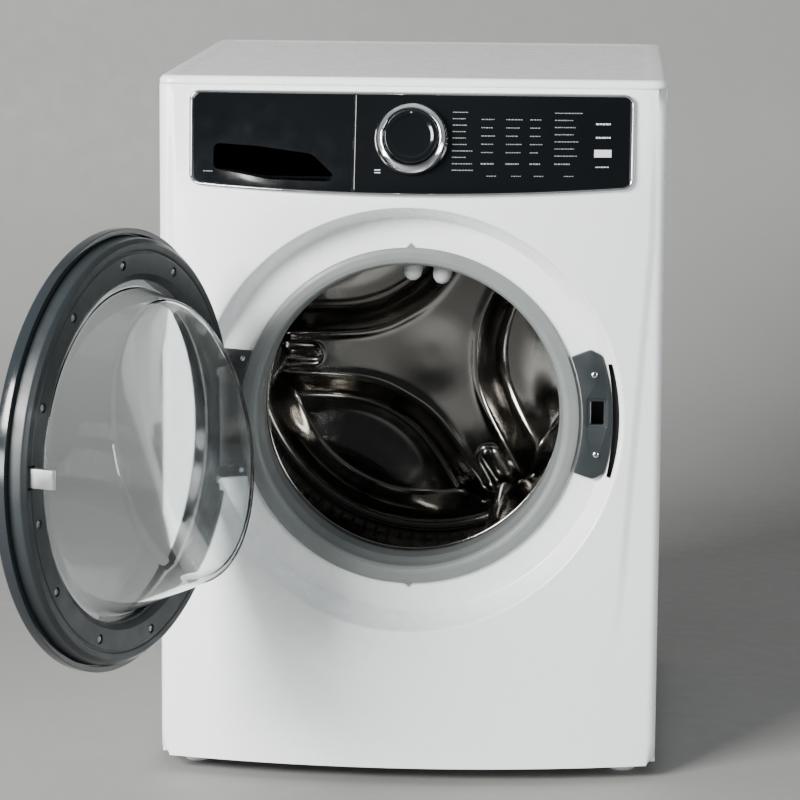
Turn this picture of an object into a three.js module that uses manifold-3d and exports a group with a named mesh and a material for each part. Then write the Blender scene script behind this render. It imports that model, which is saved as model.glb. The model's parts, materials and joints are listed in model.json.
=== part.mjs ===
// Front load washing machine, door open, drawer shut.
// Millimetres. X across, Y from the front to the back, Z up.
// Lengths are first laid out from the middle of the cabinet's front, and the whole group is then
// moved so that its origin is the middle of the bottom of its bounding box.
import * as THREE from "three";
import { mergeVertices } from "three/addons/utils/BufferGeometryUtils.js";
import Module from "manifold-3d";

// Cabinet
const WIDTH = 686;
const HEIGHT = 965;
const DEPTH = 740;
const BULGE = 42; // how far the middle of the front stands out from its corners
const PANEL_BOTTOM = 20;
const TOP_SEAM = 953; // where the front and sides meet the top
const SHEET = 1.2;
const CORNER = 12;
const SIDE_FRONT = 24; // where the front panel ends and the side panels start
const GAP = 0.3; // between touching pieces

// Door opening
const AXIS_Z = 503; // height of the door, opening and drum centres
const RIM_R = 291; // outer edge of the door recess
const FLOOR_R = 272; // outer edge of the flat floor of the recess
const FLOOR_Y = 8;
const HOLE_R = 224;

// Door
const DOOR_R = 287;
const DOOR_FRONT = -51.5;
const DOOR_REAR = -10;
const HINGE_X = -266;
const HINGE_Y = -38;
const OPEN_ANGLE = 111.3;
const NOTCH_HALF = 97; // half the height of the hinge notch in the door's edge
const LATCH_X = 257;
const LATCH_Z = AXIS_Z + 10;
const PLATE_R = [236, 276]; // the dark plate around the latch
const PLATE_TURNS = [-18, 21.5]; // degrees above +X

// Console
const CONSOLE_HALF = 296;
const CONSOLE_TOP = 943;
const CONSOLE_LOW = 814; // lowest point of the console's curved lower edge
const CONSOLE_SAG = 9; // how much higher that edge is at the corners
const CONSOLE_THICK = 6;
const TRIM = 4;
const SEAM_X = -75;
const KNOB_X = 2;
const KNOB_Z = 885;

// Wash unit
const DRUM_R = 275;
const DRUM_FRONT = 106;
const DRUM_BACK = 615;
const DRUM_WALL = 1.2;
const ARM_LEVEL = 552; // the raised arms on the drum's back
const POCKET_LEVEL = 598; // the pressed-in pockets between them
const ARM_HALF = 33;
const ARM_TURNS = [180, 60, -60]; // degrees above +X
const LIFTER_HEIGHT = 58;
const LIFTER_END = 536;
const TUB_R = 305;
const TUB_FRONT = 100;
const TUB_SPLIT = 330;
const TUB_BACK = 642;
const PULLEY_Y = 684;
const DRUM_PULLEY_R = 145;
const MOTOR_PULLEY_R = 12;
const MOTOR_X = 120;
const MOTOR_Z = 130;
const SHAFT_R = 15;
const BEARING_R = 31; // the bore that the bearings sit in

// Water and power
const VALVE_X = -225;
const VALVE_Z = 900;
const VALVE_PITCH = 60;
const SUMP_X = 40;
const SUMP_Y = 420;
const SUMP_LOW = AXIS_Z - TUB_R - 28;
const PUMP_X = 190;
const PUMP_Y = 150;
const PUMP_Z = 112;
const PORT_Y = PUMP_Y - 26; // the depth of the pump's two ports
const DRAIN_X = 272;
const DRAIN_Z = 820;
const POWER_X = 190;
const POWER_Z = 905;

// Feet
const FOOT_X = 297;
const FOOT_INSET = 62;

const RING_STEPS = 40;
const HIDDEN_STEPS = 24; // for round pieces inside the cabinet

const wasm = await Module();
wasm.setup();

const root = new THREE.Group();
const machine = new THREE.Group();
root.add(machine);

const material = (color, roughness, metalness = 0, opacity = 1) =>
  new THREE.MeshStandardMaterial({ color, roughness, metalness, opacity, transparent: opacity < 1 });

const WHITE = material("#e8ebee", 0.32, 0.1);
const BLACK_GLOSS = material("#0b0c0e", 0.12);
const CHROME = material("#d5d8da", 0.12, 1);
const STEEL = material("#a9adb0", 0.35, 1);
const ZINC = material("#9b9fa2", 0.5, 1);
const CASTING = material("#8d9193", 0.6, 0.8);
const SLATE = material("#2f363b", 0.4);
const GREY_RUBBER = material("#787c7c", 0.7);
const BLACK_RUBBER = material("#17181a", 0.8);
const PALE_PLASTIC = material("#cfd2d1", 0.5);
const TUB_PLASTIC = material("#9aa0a3", 0.6);
const CONCRETE = material("#8f8c86", 0.95);
const CLEAR_GLASS = material("#dfe7e8", 0.03, 0, 0.3);
const SMOKED_GLASS = material("#4b5358", 0.05, 0, 0.4);
const BOARD = material("#1f4a34", 0.6);

// ---- solids ----

// A closed three.js geometry as a solid with its faces pointing out.
function solid(geometry) {
  const bare = new THREE.BufferGeometry();
  const source = geometry.index ? geometry.toNonIndexed() : geometry;
  bare.setAttribute("position", source.getAttribute("position"));
  const merged = mergeVertices(bare, 1e-3);
  const index = merged.index.array;
  const corners = [];
  for (let i = 0; i < index.length; i += 3) {
    const [a, b, c] = [index[i], index[i + 1], index[i + 2]];
    if (a !== b && b !== c && c !== a) corners.push(a, b, c);
  }
  const build = (triVerts) =>
    new wasm.Manifold(
      new wasm.Mesh({
        numProp: 3,
        vertProperties: merged.attributes.position.array,
        triVerts: new Uint32Array(triVerts),
      }),
    );
  const made = build(corners);
  if (made.volume() > 0) return made;
  const turned = [];
  for (let i = 0; i < corners.length; i += 3) turned.push(corners[i], corners[i + 2], corners[i + 1]);
  return build(turned);
}

// A solid as a three.js geometry with flat faces.
function surface(body) {
  const mesh = body.getMesh();
  const geometry = new THREE.BufferGeometry();
  const points = new Float32Array(mesh.vertProperties.length);
  points.set(mesh.vertProperties);
  geometry.setAttribute("position", new THREE.BufferAttribute(points, 3));
  geometry.setIndex(Array.from(mesh.triVerts));
  geometry.computeVertexNormals();
  return geometry;
}

const join = (first, ...others) => others.reduce((sum, other) => sum.add(other), first);
const cut = (first, ...tools) => tools.reduce((rest, tool) => rest.subtract(tool), first);

function place(name, body, look, parent = machine) {
  const mesh = new THREE.Mesh(surface(body), look.clone());
  mesh.name = name;
  parent.add(mesh);
  return mesh;
}

const box = (x, y, z) =>
  solid(
    new THREE.BoxGeometry(x[1] - x[0], y[1] - y[0], z[1] - z[0]).translate(
      (x[0] + x[1]) / 2,
      (y[0] + y[1]) / 2,
      (z[0] + z[1]) / 2,
    ),
  );

// A solid of revolution about the drum's axis. The outline is a closed loop of [radius, y].
function ring(outline, steps = RING_STEPS, centre = [0, AXIS_Z]) {
  const points = [...outline, outline[0]].map(([r, y]) => new THREE.Vector2(r, y));
  return solid(new THREE.LatheGeometry(points, steps).translate(centre[0], 0, centre[1]));
}

// A solid of revolution about a line along Y. The outline runs from the axis back to the axis.
function turned(outline, steps, x = 0, z = AXIS_Z) {
  const points = outline.map(([r, y]) => new THREE.Vector2(r, y));
  return solid(new THREE.LatheGeometry(points, steps).translate(x, 0, z));
}

const rod = (radius, y0, y1, x, z, steps = 24) =>
  turned([[0, y0], [radius, y0], [radius, y1], [0, y1]], steps, x, z);

// An outline drawn in X and Z, given as a Shape, made solid between two depths.
function plate(shape, y0, y1, curveSegments = 12) {
  const options = { depth: y1 - y0, bevelEnabled: false, curveSegments };
  const geometry = new THREE.ExtrudeGeometry(shape, options);
  return solid(geometry.rotateX(Math.PI / 2).translate(0, y1, 0));
}

// An outline drawn in X and Y made solid between two heights.
function column(points, z0, z1) {
  const shape = new THREE.Shape(points.map(([x, y]) => new THREE.Vector2(x, y)));
  const geometry = new THREE.ExtrudeGeometry(shape, { depth: z1 - z0, bevelEnabled: false });
  return solid(geometry.translate(0, 0, z0));
}

// A round tube or rod along a smooth line through the points.
function pipe(points, radius, steps = 24, sides = 8) {
  const route = points.map((point) => new THREE.Vector3(...point));
  // A point close to each end keeps the end faces square to the first and last stretch.
  route.splice(1, 0, route[0].clone().lerp(route[1], 0.04));
  route.splice(-1, 0, route.at(-1).clone().lerp(route.at(-2), 0.04));
  return sweep(new THREE.CatmullRomCurve3(route, false, "centripetal"), radius, steps, sides);
}

function sweep(line, radius, steps, sides) {
  const section = new THREE.Shape();
  for (let i = 0; i < sides; i++) {
    const turn = (2 * Math.PI * i) / sides;
    const [x, y] = [radius * Math.cos(turn), radius * Math.sin(turn)];
    if (i === 0) section.moveTo(x, y);
    else section.lineTo(x, y);
  }
  return solid(new THREE.ExtrudeGeometry(section, { steps, extrudePath: line, bevelEnabled: false }));
}

// A closed solid from loops of points, each loop joined to the next and the last to the first.
function loops(rows) {
  const count = rows[0].length;
  const points = rows.flat();
  const corners = [];
  rows.forEach((row, i) => {
    const next = (i + 1) % rows.length;
    for (let j = 0; j < count; j++) {
      const k = (j + 1) % count;
      const [a, b, c, d] = [i * count + j, i * count + k, next * count + k, next * count + j];
      corners.push(a, b, c, a, c, d);
    }
  });
  const geometry = new THREE.BufferGeometry();
  geometry.setAttribute("position", new THREE.Float32BufferAttribute(points.flat(), 3));
  geometry.setIndex(corners);
  return solid(geometry);
}

// A sheet between two grids of points of the same size.
function sheet(front, back) {
  const [rows, columns] = [front.length, front[0].length];
  const points = [...front.flat(), ...back.flat()];
  const behind = rows * columns;
  const at = (i, j) => i * columns + j;
  const corners = [];
  const quad = (a, b, c, d) => corners.push(a, b, c, a, c, d);
  for (let i = 0; i + 1 < rows; i++)
    for (let j = 0; j + 1 < columns; j++) {
      quad(at(i, j), at(i, j + 1), at(i + 1, j + 1), at(i + 1, j));
      quad(behind + at(i, j), behind + at(i + 1, j), behind + at(i + 1, j + 1), behind + at(i, j + 1));
    }
  for (let j = 0; j + 1 < columns; j++) {
    quad(at(0, j), behind + at(0, j), behind + at(0, j + 1), at(0, j + 1));
    const top = rows - 1;
    quad(at(top, j), at(top, j + 1), behind + at(top, j + 1), behind + at(top, j));
  }
  for (let i = 0; i + 1 < rows; i++) {
    quad(at(i, 0), at(i + 1, 0), behind + at(i + 1, 0), behind + at(i, 0));
    const side = columns - 1;
    quad(at(i, side), behind + at(i, side), behind + at(i + 1, side), at(i + 1, side));
  }
  const geometry = new THREE.BufferGeometry();
  geometry.setAttribute("position", new THREE.Float32BufferAttribute(points.flat(), 3));
  geometry.setIndex(corners);
  return solid(geometry);
}

// ---- the curved front ----

const FRONT_HALF = WIDTH / 2 - CORNER;
const FRONT_STEPS = 22;
const FRONT_STEP = (2 * FRONT_HALF) / FRONT_STEPS;

function bulgeAt(z) {
  const rise = (TOP_SEAM - z) / (TOP_SEAM - CONSOLE_LOW);
  return BULGE * THREE.MathUtils.clamp(rise, 0, 1);
}

const frontY = (x, z) => -bulgeAt(z) * (1 - (x / FRONT_HALF) ** 2);

// The part of the curved front between two offsets outwards from it, across the console.
function skin(outer, inner) {
  const heights = [CONSOLE_LOW - 16, CONSOLE_LOW, TOP_SEAM];
  const grid = (offset) =>
    heights.map((z) =>
      Array.from({ length: FRONT_STEPS - 1 }, (_, i) => {
        const x = -FRONT_HALF + FRONT_STEP * (i + 1);
        return [x, frontY(x, z) - offset, z];
      }),
    );
  return sheet(grid(outer), grid(inner));
}

// The front panel's section at one height: points with the direction that leads into the sheet.
// A point without a depth takes it from the curved front.
function frontSection() {
  const cornerSteps = 3;
  const left = [{ x: -WIDTH / 2, y: SIDE_FRONT, inward: [1, 0] }];
  for (let i = 0; i <= cornerSteps; i++) {
    const turn = (Math.PI / 2) * (i / cornerSteps);
    const [c, s] = [Math.cos(turn), Math.sin(turn)];
    left.push({ x: -FRONT_HALF - CORNER * c, y: CORNER * (1 - s), inward: [c, s] });
  }
  const middle = Array.from({ length: FRONT_STEPS - 1 }, (_, i) => {
    return { x: -FRONT_HALF + FRONT_STEP * (i + 1), inward: [0, 1] };
  });
  const right = left.map(({ x, y, inward: [a, b] }) => ({ x: -x, y, inward: [-a, b] })).reverse();
  return [...left, ...middle, ...right];
}

function makeFrontPanel() {
  const section = frontSection();
  const grid = (inset) =>
    [PANEL_BOTTOM, CONSOLE_LOW, TOP_SEAM].map((z) =>
      section.map(({ x, y = frontY(x, z), inward: [a, b] }) => [x + inset * a, y + inset * b, z]),
    );
  const face = sheet(grid(0), grid(SHEET));
  const hole = rod(RIM_R, -BULGE - 30, 30, 0, AXIS_Z, RING_STEPS);
  const recess = makeRecess();
  const drawerHole = box([-285, -87], [-80, 30], [827, 931]);
  const shaftHole = rod(6, -60, 30, KNOB_X, KNOB_Z - 2, 12);
  // The hole behind the dark plate runs into the crescent beside it.
  const [plateLow, plateHigh] = PLATE_TURNS;
  const latchHole = arcBlock(PLATE_R[0] + 2, PLATE_R[1] + 7, plateLow + 3, plateHigh - 5, -20, 20);
  return cut(join(cut(face, hole), recess), drawerHole, shaftHole, latchHole, fingerSlot());
}

// The sloping wall and the flat floor around the opening.
function makeRecess() {
  const rows = Array.from({ length: RING_STEPS }, (_, i) => {
    const turn = (2 * Math.PI * i) / RING_STEPS;
    const [c, s] = [Math.cos(turn), Math.sin(turn)];
    const rim = frontY(RIM_R * c, AXIS_Z + RIM_R * s);
    const at = (r, y) => [r * c, y, AXIS_Z + r * s];
    return [
      at(RIM_R + 1.5, rim + 0.4),
      at(FLOOR_R, FLOOR_Y),
      at(HOLE_R, FLOOR_Y),
      at(HOLE_R, FLOOR_Y + SHEET),
      at(FLOOR_R + 1, FLOOR_Y + SHEET),
      at(RIM_R + 2.5, rim + 1.6),
    ];
  });
  return loops(rows);
}

// The thin crescent that leaves room for fingers behind the door's free edge.
function fingerSlot() {
  const [outerR, mid, halfHeight] = [286, 277, 80];
  const edge = Math.sqrt(outerR ** 2 - halfHeight ** 2);
  const sag = mid - (edge - 4);
  const innerR = (halfHeight ** 2 + sag ** 2) / (2 * sag);
  const outerTurn = Math.asin(halfHeight / outerR);
  const innerTurn = Math.asin(halfHeight / innerR);
  const shape = new THREE.Shape();
  shape.absarc(0, 0, outerR, -outerTurn, outerTurn, false);
  shape.absarc(mid - innerR, 0, innerR, innerTurn, -innerTurn, true);
  const flat = new THREE.ExtrudeGeometry(shape, { depth: 40, bevelEnabled: false, curveSegments: 10 });
  return solid(flat.rotateX(Math.PI / 2).translate(0, 14, AXIS_Z));
}

// ---- cabinet ----

function makeSidePanel(side) {
  const [outer, inner] = [WIDTH / 2, WIDTH / 2 - SHEET];
  const [front, back] = [SIDE_FRONT + GAP, DEPTH - SHEET - GAP];
  const section = [
    [outer, front], [outer, back], [outer - 16, back], [outer - 16, back - SHEET], [inner, back - SHEET],
    [inner, front + SHEET], [outer - 20, front + SHEET], [outer - 20, front],
  ];
  return column(section.map(([x, y]) => [side * x, y]), PANEL_BOTTOM, TOP_SEAM);
}

// A rectangle with round corners, drawn from its middle.
function roundedRectangle(x0, x1, y0, y1, radius) {
  const shape = new THREE.Shape();
  shape.absarc(x1 - radius, y1 - radius, radius, 0, Math.PI / 2, false);
  shape.absarc(x0 + radius, y1 - radius, radius, Math.PI / 2, Math.PI, false);
  shape.absarc(x0 + radius, y0 + radius, radius, Math.PI, 1.5 * Math.PI, false);
  shape.absarc(x1 - radius, y0 + radius, radius, 1.5 * Math.PI, 2 * Math.PI, false);
  return shape;
}

function makeTopPanel() {
  const edge = 5;
  const [low, high] = [TOP_SEAM + GAP, HEIGHT];
  const half = WIDTH / 2 - edge;
  const shape = roundedRectangle(-half, half, edge - 2, DEPTH - edge + 1, 14);
  const blank = new THREE.ExtrudeGeometry(shape, {
    depth: high - low - 2 * edge,
    bevelThickness: edge,
    bevelSize: edge,
    bevelSegments: 2,
    curveSegments: 3,
  });
  const body = solid(blank.translate(0, 0, low + edge));
  const hollow = box([-half + 2, half - 2], [edge + 4, DEPTH - edge - 4], [low - 1, high - SHEET]);
  return cut(body, hollow);
}

function makeRearPanel() {
  const half = WIDTH / 2 - 1;
  const body = box([-half, half], [DEPTH - SHEET, DEPTH], [PANEL_BOTTOM + 4, TOP_SEAM - GAP]);
  const shape = roundedRectangle(-160, 160, AXIS_Z - 180, AXIS_Z + 160, 50);
  const opening = plate(shape, DEPTH - 10, DEPTH + 10, 4);
  const ports = [VALVE_X - VALVE_PITCH / 2, VALVE_X + VALVE_PITCH / 2].map((x) =>
    rod(16, DEPTH - 10, DEPTH + 10, x, VALVE_Z, 20),
  );
  const drain = rod(15, DEPTH - 10, DEPTH + 10, DRAIN_X, DRAIN_Z, 20);
  const power = box(
    [POWER_X - 20, POWER_X + 20],
    [DEPTH - 10, DEPTH + 10],
    [POWER_Z - 15, POWER_Z + 15],
  );
  return cut(body, opening, ...ports, drain, power);
}

function makeAccessCover() {
  const shape = roundedRectangle(-186, 186, AXIS_Z - 206, AXIS_Z + 186, 70);
  const flange = plate(shape, DEPTH + GAP, DEPTH + 1.5, 4);
  const inner = roundedRectangle(-166, 166, AXIS_Z - 186, AXIS_Z + 166, 56);
  const dome = plate(inner, DEPTH + GAP, DEPTH + 12, 4);
  const hollowShape = roundedRectangle(-164, 164, AXIS_Z - 184, AXIS_Z + 164, 54);
  const hollow = plate(hollowShape, DEPTH - 5, DEPTH + 10.5, 4);
  return cut(join(flange, dome), hollow);
}

const footPlaces = [
  ["front_left", -FOOT_X, FOOT_INSET],
  ["front_right", FOOT_X, FOOT_INSET],
  ["rear_left", -FOOT_X, DEPTH - FOOT_INSET],
  ["rear_right", FOOT_X, DEPTH - FOOT_INSET],
];

// A rim of channel section, open upwards, with a hole for the stem of each foot.
function makeBaseFrame() {
  const [side, front, back] = [WIDTH / 2 - 6, 34, DEPTH - 8];
  const [low, high, rail, wall] = [24, 62, 70, 2];
  const outer = box([-side, side], [front, back], [low, high]);
  const middle = box([-side + rail, side - rail], [front + rail, back - rail], [low - 5, high + 5]);
  const trough = cut(
    box([-side + wall, side - wall], [front + wall, back - wall], [low + wall, high + 5]),
    box(
      [-side + rail - wall, side - rail + wall],
      [front + rail - wall, back - rail + wall],
      [low, high + 5],
    ),
  );
  const rim = cut(outer, middle, trough);
  const hole = [[0, low - 5], [6.6, low - 5], [6.6, high], [0, high]];
  const stems = footPlaces.map(([, x, y]) => upright(hole, x, y, 16));
  return cut(rim, ...stems);
}

// A solid of revolution about a vertical line.
function upright(outline, x, y, steps) {
  const points = outline.map(([r, z]) => new THREE.Vector2(r, z));
  const geometry = new THREE.LatheGeometry(points, steps).rotateX(Math.PI / 2);
  return solid(geometry.translate(x, y, 0));
}

const makeFoot = (x, y) =>
  upright(
    [[0, 0], [18, 0], [20, 3], [20, 10], [15, 13], [9.5, 13], [9.5, 20], [6, 20], [6, 56], [0, 56]],
    x,
    y,
    12,
  );

// ---- console ----

const tilt = Math.atan2(BULGE, TOP_SEAM - CONSOLE_LOW);

// Places a solid whose axis is Y and whose zero is the console's surface at the knob.
function onConsole(body) {
  const turn = new THREE.Matrix4().makeRotationX(-tilt);
  turn.setPosition(KNOB_X, frontY(KNOB_X, KNOB_Z) - CONSOLE_THICK / Math.cos(tilt), KNOB_Z);
  return solid(surface(body).applyMatrix4(turn));
}

// The console's outline, grown outwards by a margin.
function consoleShape(
  margin,
  [x0, x1] = [-CONSOLE_HALF, CONSOLE_HALF],
  [roundLeft, roundRight] = [true, true],
) {
  const lower = (x) => CONSOLE_LOW + CONSOLE_SAG * (x / CONSOLE_HALF) ** 2 - margin;
  const [left, right, top] = [x0 - margin, x1 + margin, CONSOLE_TOP + margin];
  const radius = 11 + margin;
  const [leftR, rightR] = [roundLeft ? radius : 0.5, roundRight ? radius : 0.5];
  const shape = new THREE.Shape();
  shape.moveTo(left, top - leftR);
  shape.lineTo(left, lower(left) + leftR);
  shape.quadraticCurveTo(left, lower(left), left + leftR, lower(left + leftR));
  const steps = 12;
  for (let i = 1; i <= steps; i++) {
    const x = left + leftR + ((right - rightR - left - leftR) * i) / steps;
    shape.lineTo(x, lower(x));
  }
  shape.quadraticCurveTo(right, lower(right), right, lower(right) + rightR);
  shape.lineTo(right, top - rightR);
  shape.quadraticCurveTo(right, top, right - rightR, top);
  shape.lineTo(left + leftR, top);
  shape.quadraticCurveTo(left, top, left, top - leftR);
  return shape;
}

// A piece of the console: its outline, following the curved front between two offsets.
const consolePiece = (shape, outer, inner) =>
  plate(shape, -BULGE - 60, 60, 5).intersect(skin(outer, inner));

function makeConsolePanel() {
  const shape = consoleShape(-1, [SEAM_X, CONSOLE_HALF], [false, true]);
  const face = consolePiece(shape, CONSOLE_THICK, GAP);
  return cut(face, onConsole(rod(4.2, -20, 30, 0, 0, 12)));
}

function makeConsoleTrim() {
  const outer = consolePiece(consoleShape(TRIM), CONSOLE_THICK + 1, GAP);
  const inner = plate(consoleShape(0), -BULGE - 60, 60, 5);
  return cut(outer, inner);
}

const DRAWER = { x: [-282, -90], z: [830, 928] };

// The drawer's face, with the scoop that fingers reach into.
function makeDrawerFront() {
  const shape = consoleShape(-1, [-CONSOLE_HALF, SEAM_X - 1], [true, false]);
  const face = consolePiece(shape, CONSOLE_THICK, GAP);
  const body = cut(box(DRAWER.x, [-14, 14], DRAWER.z), beforeConsole());
  const scoop = new THREE.Shape();
  scoop.moveTo(-266, 842);
  scoop.quadraticCurveTo(-262, 836, -188, 829);
  scoop.lineTo(-112, 828);
  scoop.quadraticCurveTo(-100, 828, -103, 838);
  scoop.quadraticCurveTo(-112, 862, -148, 867);
  scoop.quadraticCurveTo(-205, 876, -258, 877);
  scoop.quadraticCurveTo(-268, 876, -266, 842);
  return cut(join(face, body), plate(scoop, -BULGE - 40, 8, 5));
}

// The space in front of the middle of the console's thickness.
function beforeConsole() {
  return skin(60, CONSOLE_THICK / 2);
}

function makeDrawerTray() {
  const body = box([-280, -92], [14 + GAP, 300], [833, 905]);
  const bays = [
    box([-277, -190], [20, 297], [836, 910]),
    box([-187, -143], [20, 297], [836, 910]),
    box([-140, -95], [20, 297], [836, 910]),
  ];
  return cut(body, ...bays);
}

function makeDispenserHousing() {
  const body = box([-286, -86], [16, 324], [826, 932]);
  const hollow = box([-283, -89], [0, 320], [829, 929]);
  const inlet = rod(9, 310, 340, VALVE_X, VALVE_Z, 12);
  return cut(body, hollow, inlet);
}

function makeKnobRing() {
  const outline = [
    [30, -0.4], [49, -0.4], [49, -6], [45, -15], [39.5, -18], [37, -16.5], [37, -4], [30, -4],
  ];
  return onConsole(ring(outline, 32, [0, 0]));
}

function makeKnobCap() {
  const outline = [
    [0, 16], [3, 16], [3, -4.3], [36.5, -4.3], [36.5, -20], [34.5, -22.4], [30, -22.4],
    [27, -21.4], [0, -21.4],
  ];
  return onConsole(turned(outline, 32, 0, 0));
}

function makeControlBoard() {
  const plateBody = box([-56, 196], [19, 22], [-38, 36]);
  const encoder = turned([[0, 9], [11, 9], [11, 19.5], [0, 19.5]], 16, 0, 0);
  const stemHole = turned([[0, 5], [4, 5], [4, 17.5], [0, 17.5]], 12, 0, 0);
  return onConsole(cut(join(plateBody, encoder), stemHole));
}

// ---- door, in its closed place ----

const notch = () =>
  box([-320, -236], [DOOR_FRONT + 5, 20], [AXIS_Z - NOTCH_HALF, AXIS_Z + NOTCH_HALF]);

function makeDoorOuterFrame() {
  const outline = [
    [287, -31], [287, -46], [279, DOOR_FRONT], [240, DOOR_FRONT], [232, -48], [232, -44.2],
    [225, -44.2], [225, -24.3], [231, -24.3], [231, -38], [280, -38], [280, -31],
  ];
  return cut(ring(outline.map(([r, y]) => [r - 287 + DOOR_R, y])), notch());
}

function makeDoorInnerFrame() {
  const outline = [
    [231.7, -37.7], [278, -37.7], [276, -26], [275, -15], [269, DOOR_REAR], [230, DOOR_REAR],
    [221.5, -14], [221.5, -19.7], [231.7, -19.7],
  ];
  const hookSlot = box([LATCH_X - 8, LATCH_X + 8], [-34, 5], [LATCH_Z - 15, LATCH_Z + 15]);
  return cut(ring(outline), notch(), hookSlot);
}

// The bowl's inner end is tilted, so the bowl is deep at the bottom and shallow at the top.
function makeGlassBowl() {
  const [endX, endZ, endRise, endY, slope, wall] = [178, 178, 21, 66, 0.22, 4];
  const end = (turn, scale, swell) => {
    const dz = endZ * scale * Math.sin(turn);
    return [endX * scale * Math.cos(turn), endY - slope * dz + swell, AXIS_Z + endRise + dz];
  };
  const flat = (turn, r, y) => [r * Math.cos(turn), y, AXIS_Z + r * Math.sin(turn)];
  const mix = (a, b, t) => a.map((v, i) => v + (b[i] - v) * t);
  const around = (make) =>
    Array.from({ length: RING_STEPS }, (_, i) => make((2 * Math.PI * i) / RING_STEPS));
  const rows = [
    around((t) => end(t, 0.005, 5)),
    around((t) => end(t, 0.94, 0)),
    around((t) => mix(flat(t, 212, -20), end(t, 1, 0), 0.95)),
    around((t) => flat(t, 212, -20)),
    around((t) => flat(t, 231.2, -20)),
    around((t) => flat(t, 231.2, -24)),
    around((t) => flat(t, 208, -24)),
    around((t) => mix(flat(t, 208, -24), end(t, 0.97, -wall), 0.95)),
    around((t) => end(t, 0.92, -wall)),
    around((t) => end(t, 0.005, 5 - wall)),
  ];
  return capped(rows);
}

// A solid from loops of points, with the first and the last loop closed by a flat cap.
function capped(rows) {
  const count = rows[0].length;
  const points = rows.flat();
  const corners = [];
  for (let i = 0; i + 1 < rows.length; i++)
    for (let j = 0; j < count; j++) {
      const k = (j + 1) % count;
      const [a, b, c, d] = [i * count + j, i * count + k, (i + 1) * count + k, (i + 1) * count + j];
      corners.push(a, b, c, a, c, d);
    }
  const last = (rows.length - 1) * count;
  for (let j = 1; j + 1 < count; j++) {
    corners.push(0, j + 1, j);
    corners.push(last, last + j, last + j + 1);
  }
  const geometry = new THREE.BufferGeometry();
  geometry.setAttribute("position", new THREE.Float32BufferAttribute(points.flat(), 3));
  geometry.setIndex(corners);
  return solid(geometry);
}

function makeOuterWindow() {
  const front = [[0, -58], [130, -55.5], [231.7, -47.5]];
  const back = [[231.7, -44.5], [130, -52.5], [0, -55]];
  return turned([...front, ...back], RING_STEPS);
}

function makeHingeLeaf() {
  const barrel = column(circle(HINGE_X, HINGE_Y, 7, 16), AXIS_Z - 70, AXIS_Z + 70);
  const bore = column(circle(HINGE_X, HINGE_Y, 3.5, 12), AXIS_Z - 80, AXIS_Z + 80);
  const leaf = box([HINGE_X, -238], [DOOR_FRONT + 5.3, DOOR_FRONT + 9.5], [AXIS_Z - 66, AXIS_Z + 66]);
  return cut(join(leaf, barrel), bore);
}

const circle = (x, y, radius, steps) =>
  Array.from({ length: steps }, (_, i) => {
    const turn = (2 * Math.PI * i) / steps;
    return [x + radius * Math.cos(turn), y + radius * Math.sin(turn)];
  });

function makeDoorHook() {
  const [x, pivotY] = [LATCH_X, -24];
  const blade = column(
    [[x - 3, pivotY - 7], [x + 3, pivotY - 7], [x + 3, 20], [x, 24], [x - 7, 16], [x - 3, 14]],
    LATCH_Z - 12,
    LATCH_Z + 12,
  );
  const boss = column(circle(x, pivotY, 5, 12), LATCH_Z - 13, LATCH_Z + 13);
  return join(blade, boss);
}

// ---- hinge and latch on the cabinet ----

function makeHingeBracket() {
  const floor = box([-249, -234], [FLOOR_Y - 4.7, FLOOR_Y - GAP], [AXIS_Z - 92, AXIS_Z + 92]);
  const arm = [[-249, 4], [-237, 4], [HINGE_X + 6, HINGE_Y - 3], [HINGE_X - 6, HINGE_Y + 3]];
  const parts = [-1, 1].map((side) => {
    const heights = [AXIS_Z + side * 72, AXIS_Z + side * 84].sort((a, b) => a - b);
    return join(column(arm, ...heights), column(circle(HINGE_X, HINGE_Y, 7, 16), ...heights));
  });
  const bore = column(circle(HINGE_X, HINGE_Y, 3.5, 12), AXIS_Z - 100, AXIS_Z + 100);
  return cut(join(floor, ...parts), bore);
}

const makeHingePin = () => column(circle(HINGE_X, HINGE_Y, 3.1, 12), AXIS_Z - 87, AXIS_Z + 87);

// The dark plate that the door's hook enters. Its outer edge is thinned to clear the sloping wall.
function makeStrikePlate() {
  const [innerR, outerR] = PLATE_R;
  const [front, back] = [FLOOR_Y - 9, FLOOR_Y - GAP];
  const section = ring([
    [innerR, front], [outerR, front], [outerR, FLOOR_Y - 6], [FLOOR_R - 3, back], [innerR, back],
  ]);
  const sector = arcBlock(innerR - 5, outerR + 5, ...PLATE_TURNS, front - 1, back + 1);
  const slot = box([LATCH_X - 11, LATCH_X + 7.5], [-20, 30], [LATCH_Z - 16, LATCH_Z + 16]);
  return cut(section.intersect(sector), slot);
}

function makeDoorLock() {
  const body = box([238, 298], [FLOOR_Y + SHEET + 0.6, 46], [AXIS_Z - 78, AXIS_Z + 78]);
  const mouth = box([LATCH_X - 12, LATCH_X + 10], [0, 36], [LATCH_Z - 18, LATCH_Z + 18]);
  return cut(body, mouth);
}

// ---- gasket and spray nozzles ----

function makeGasket() {
  return ring([
    [232, FLOOR_Y - GAP], [231, 2], [214, -1], [209, 2], [209, 28], [204, 44], [204, 84],
    [226, 93],
    [226, TUB_FRONT - GAP], [243, TUB_FRONT - GAP], [243, 88], [212, 76], [212, 48], [217, 16],
    [230, FLOOR_Y + SHEET + GAP], [223.6, FLOOR_Y + SHEET + GAP], [223.6, FLOOR_Y - GAP],
  ]);
}

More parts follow.
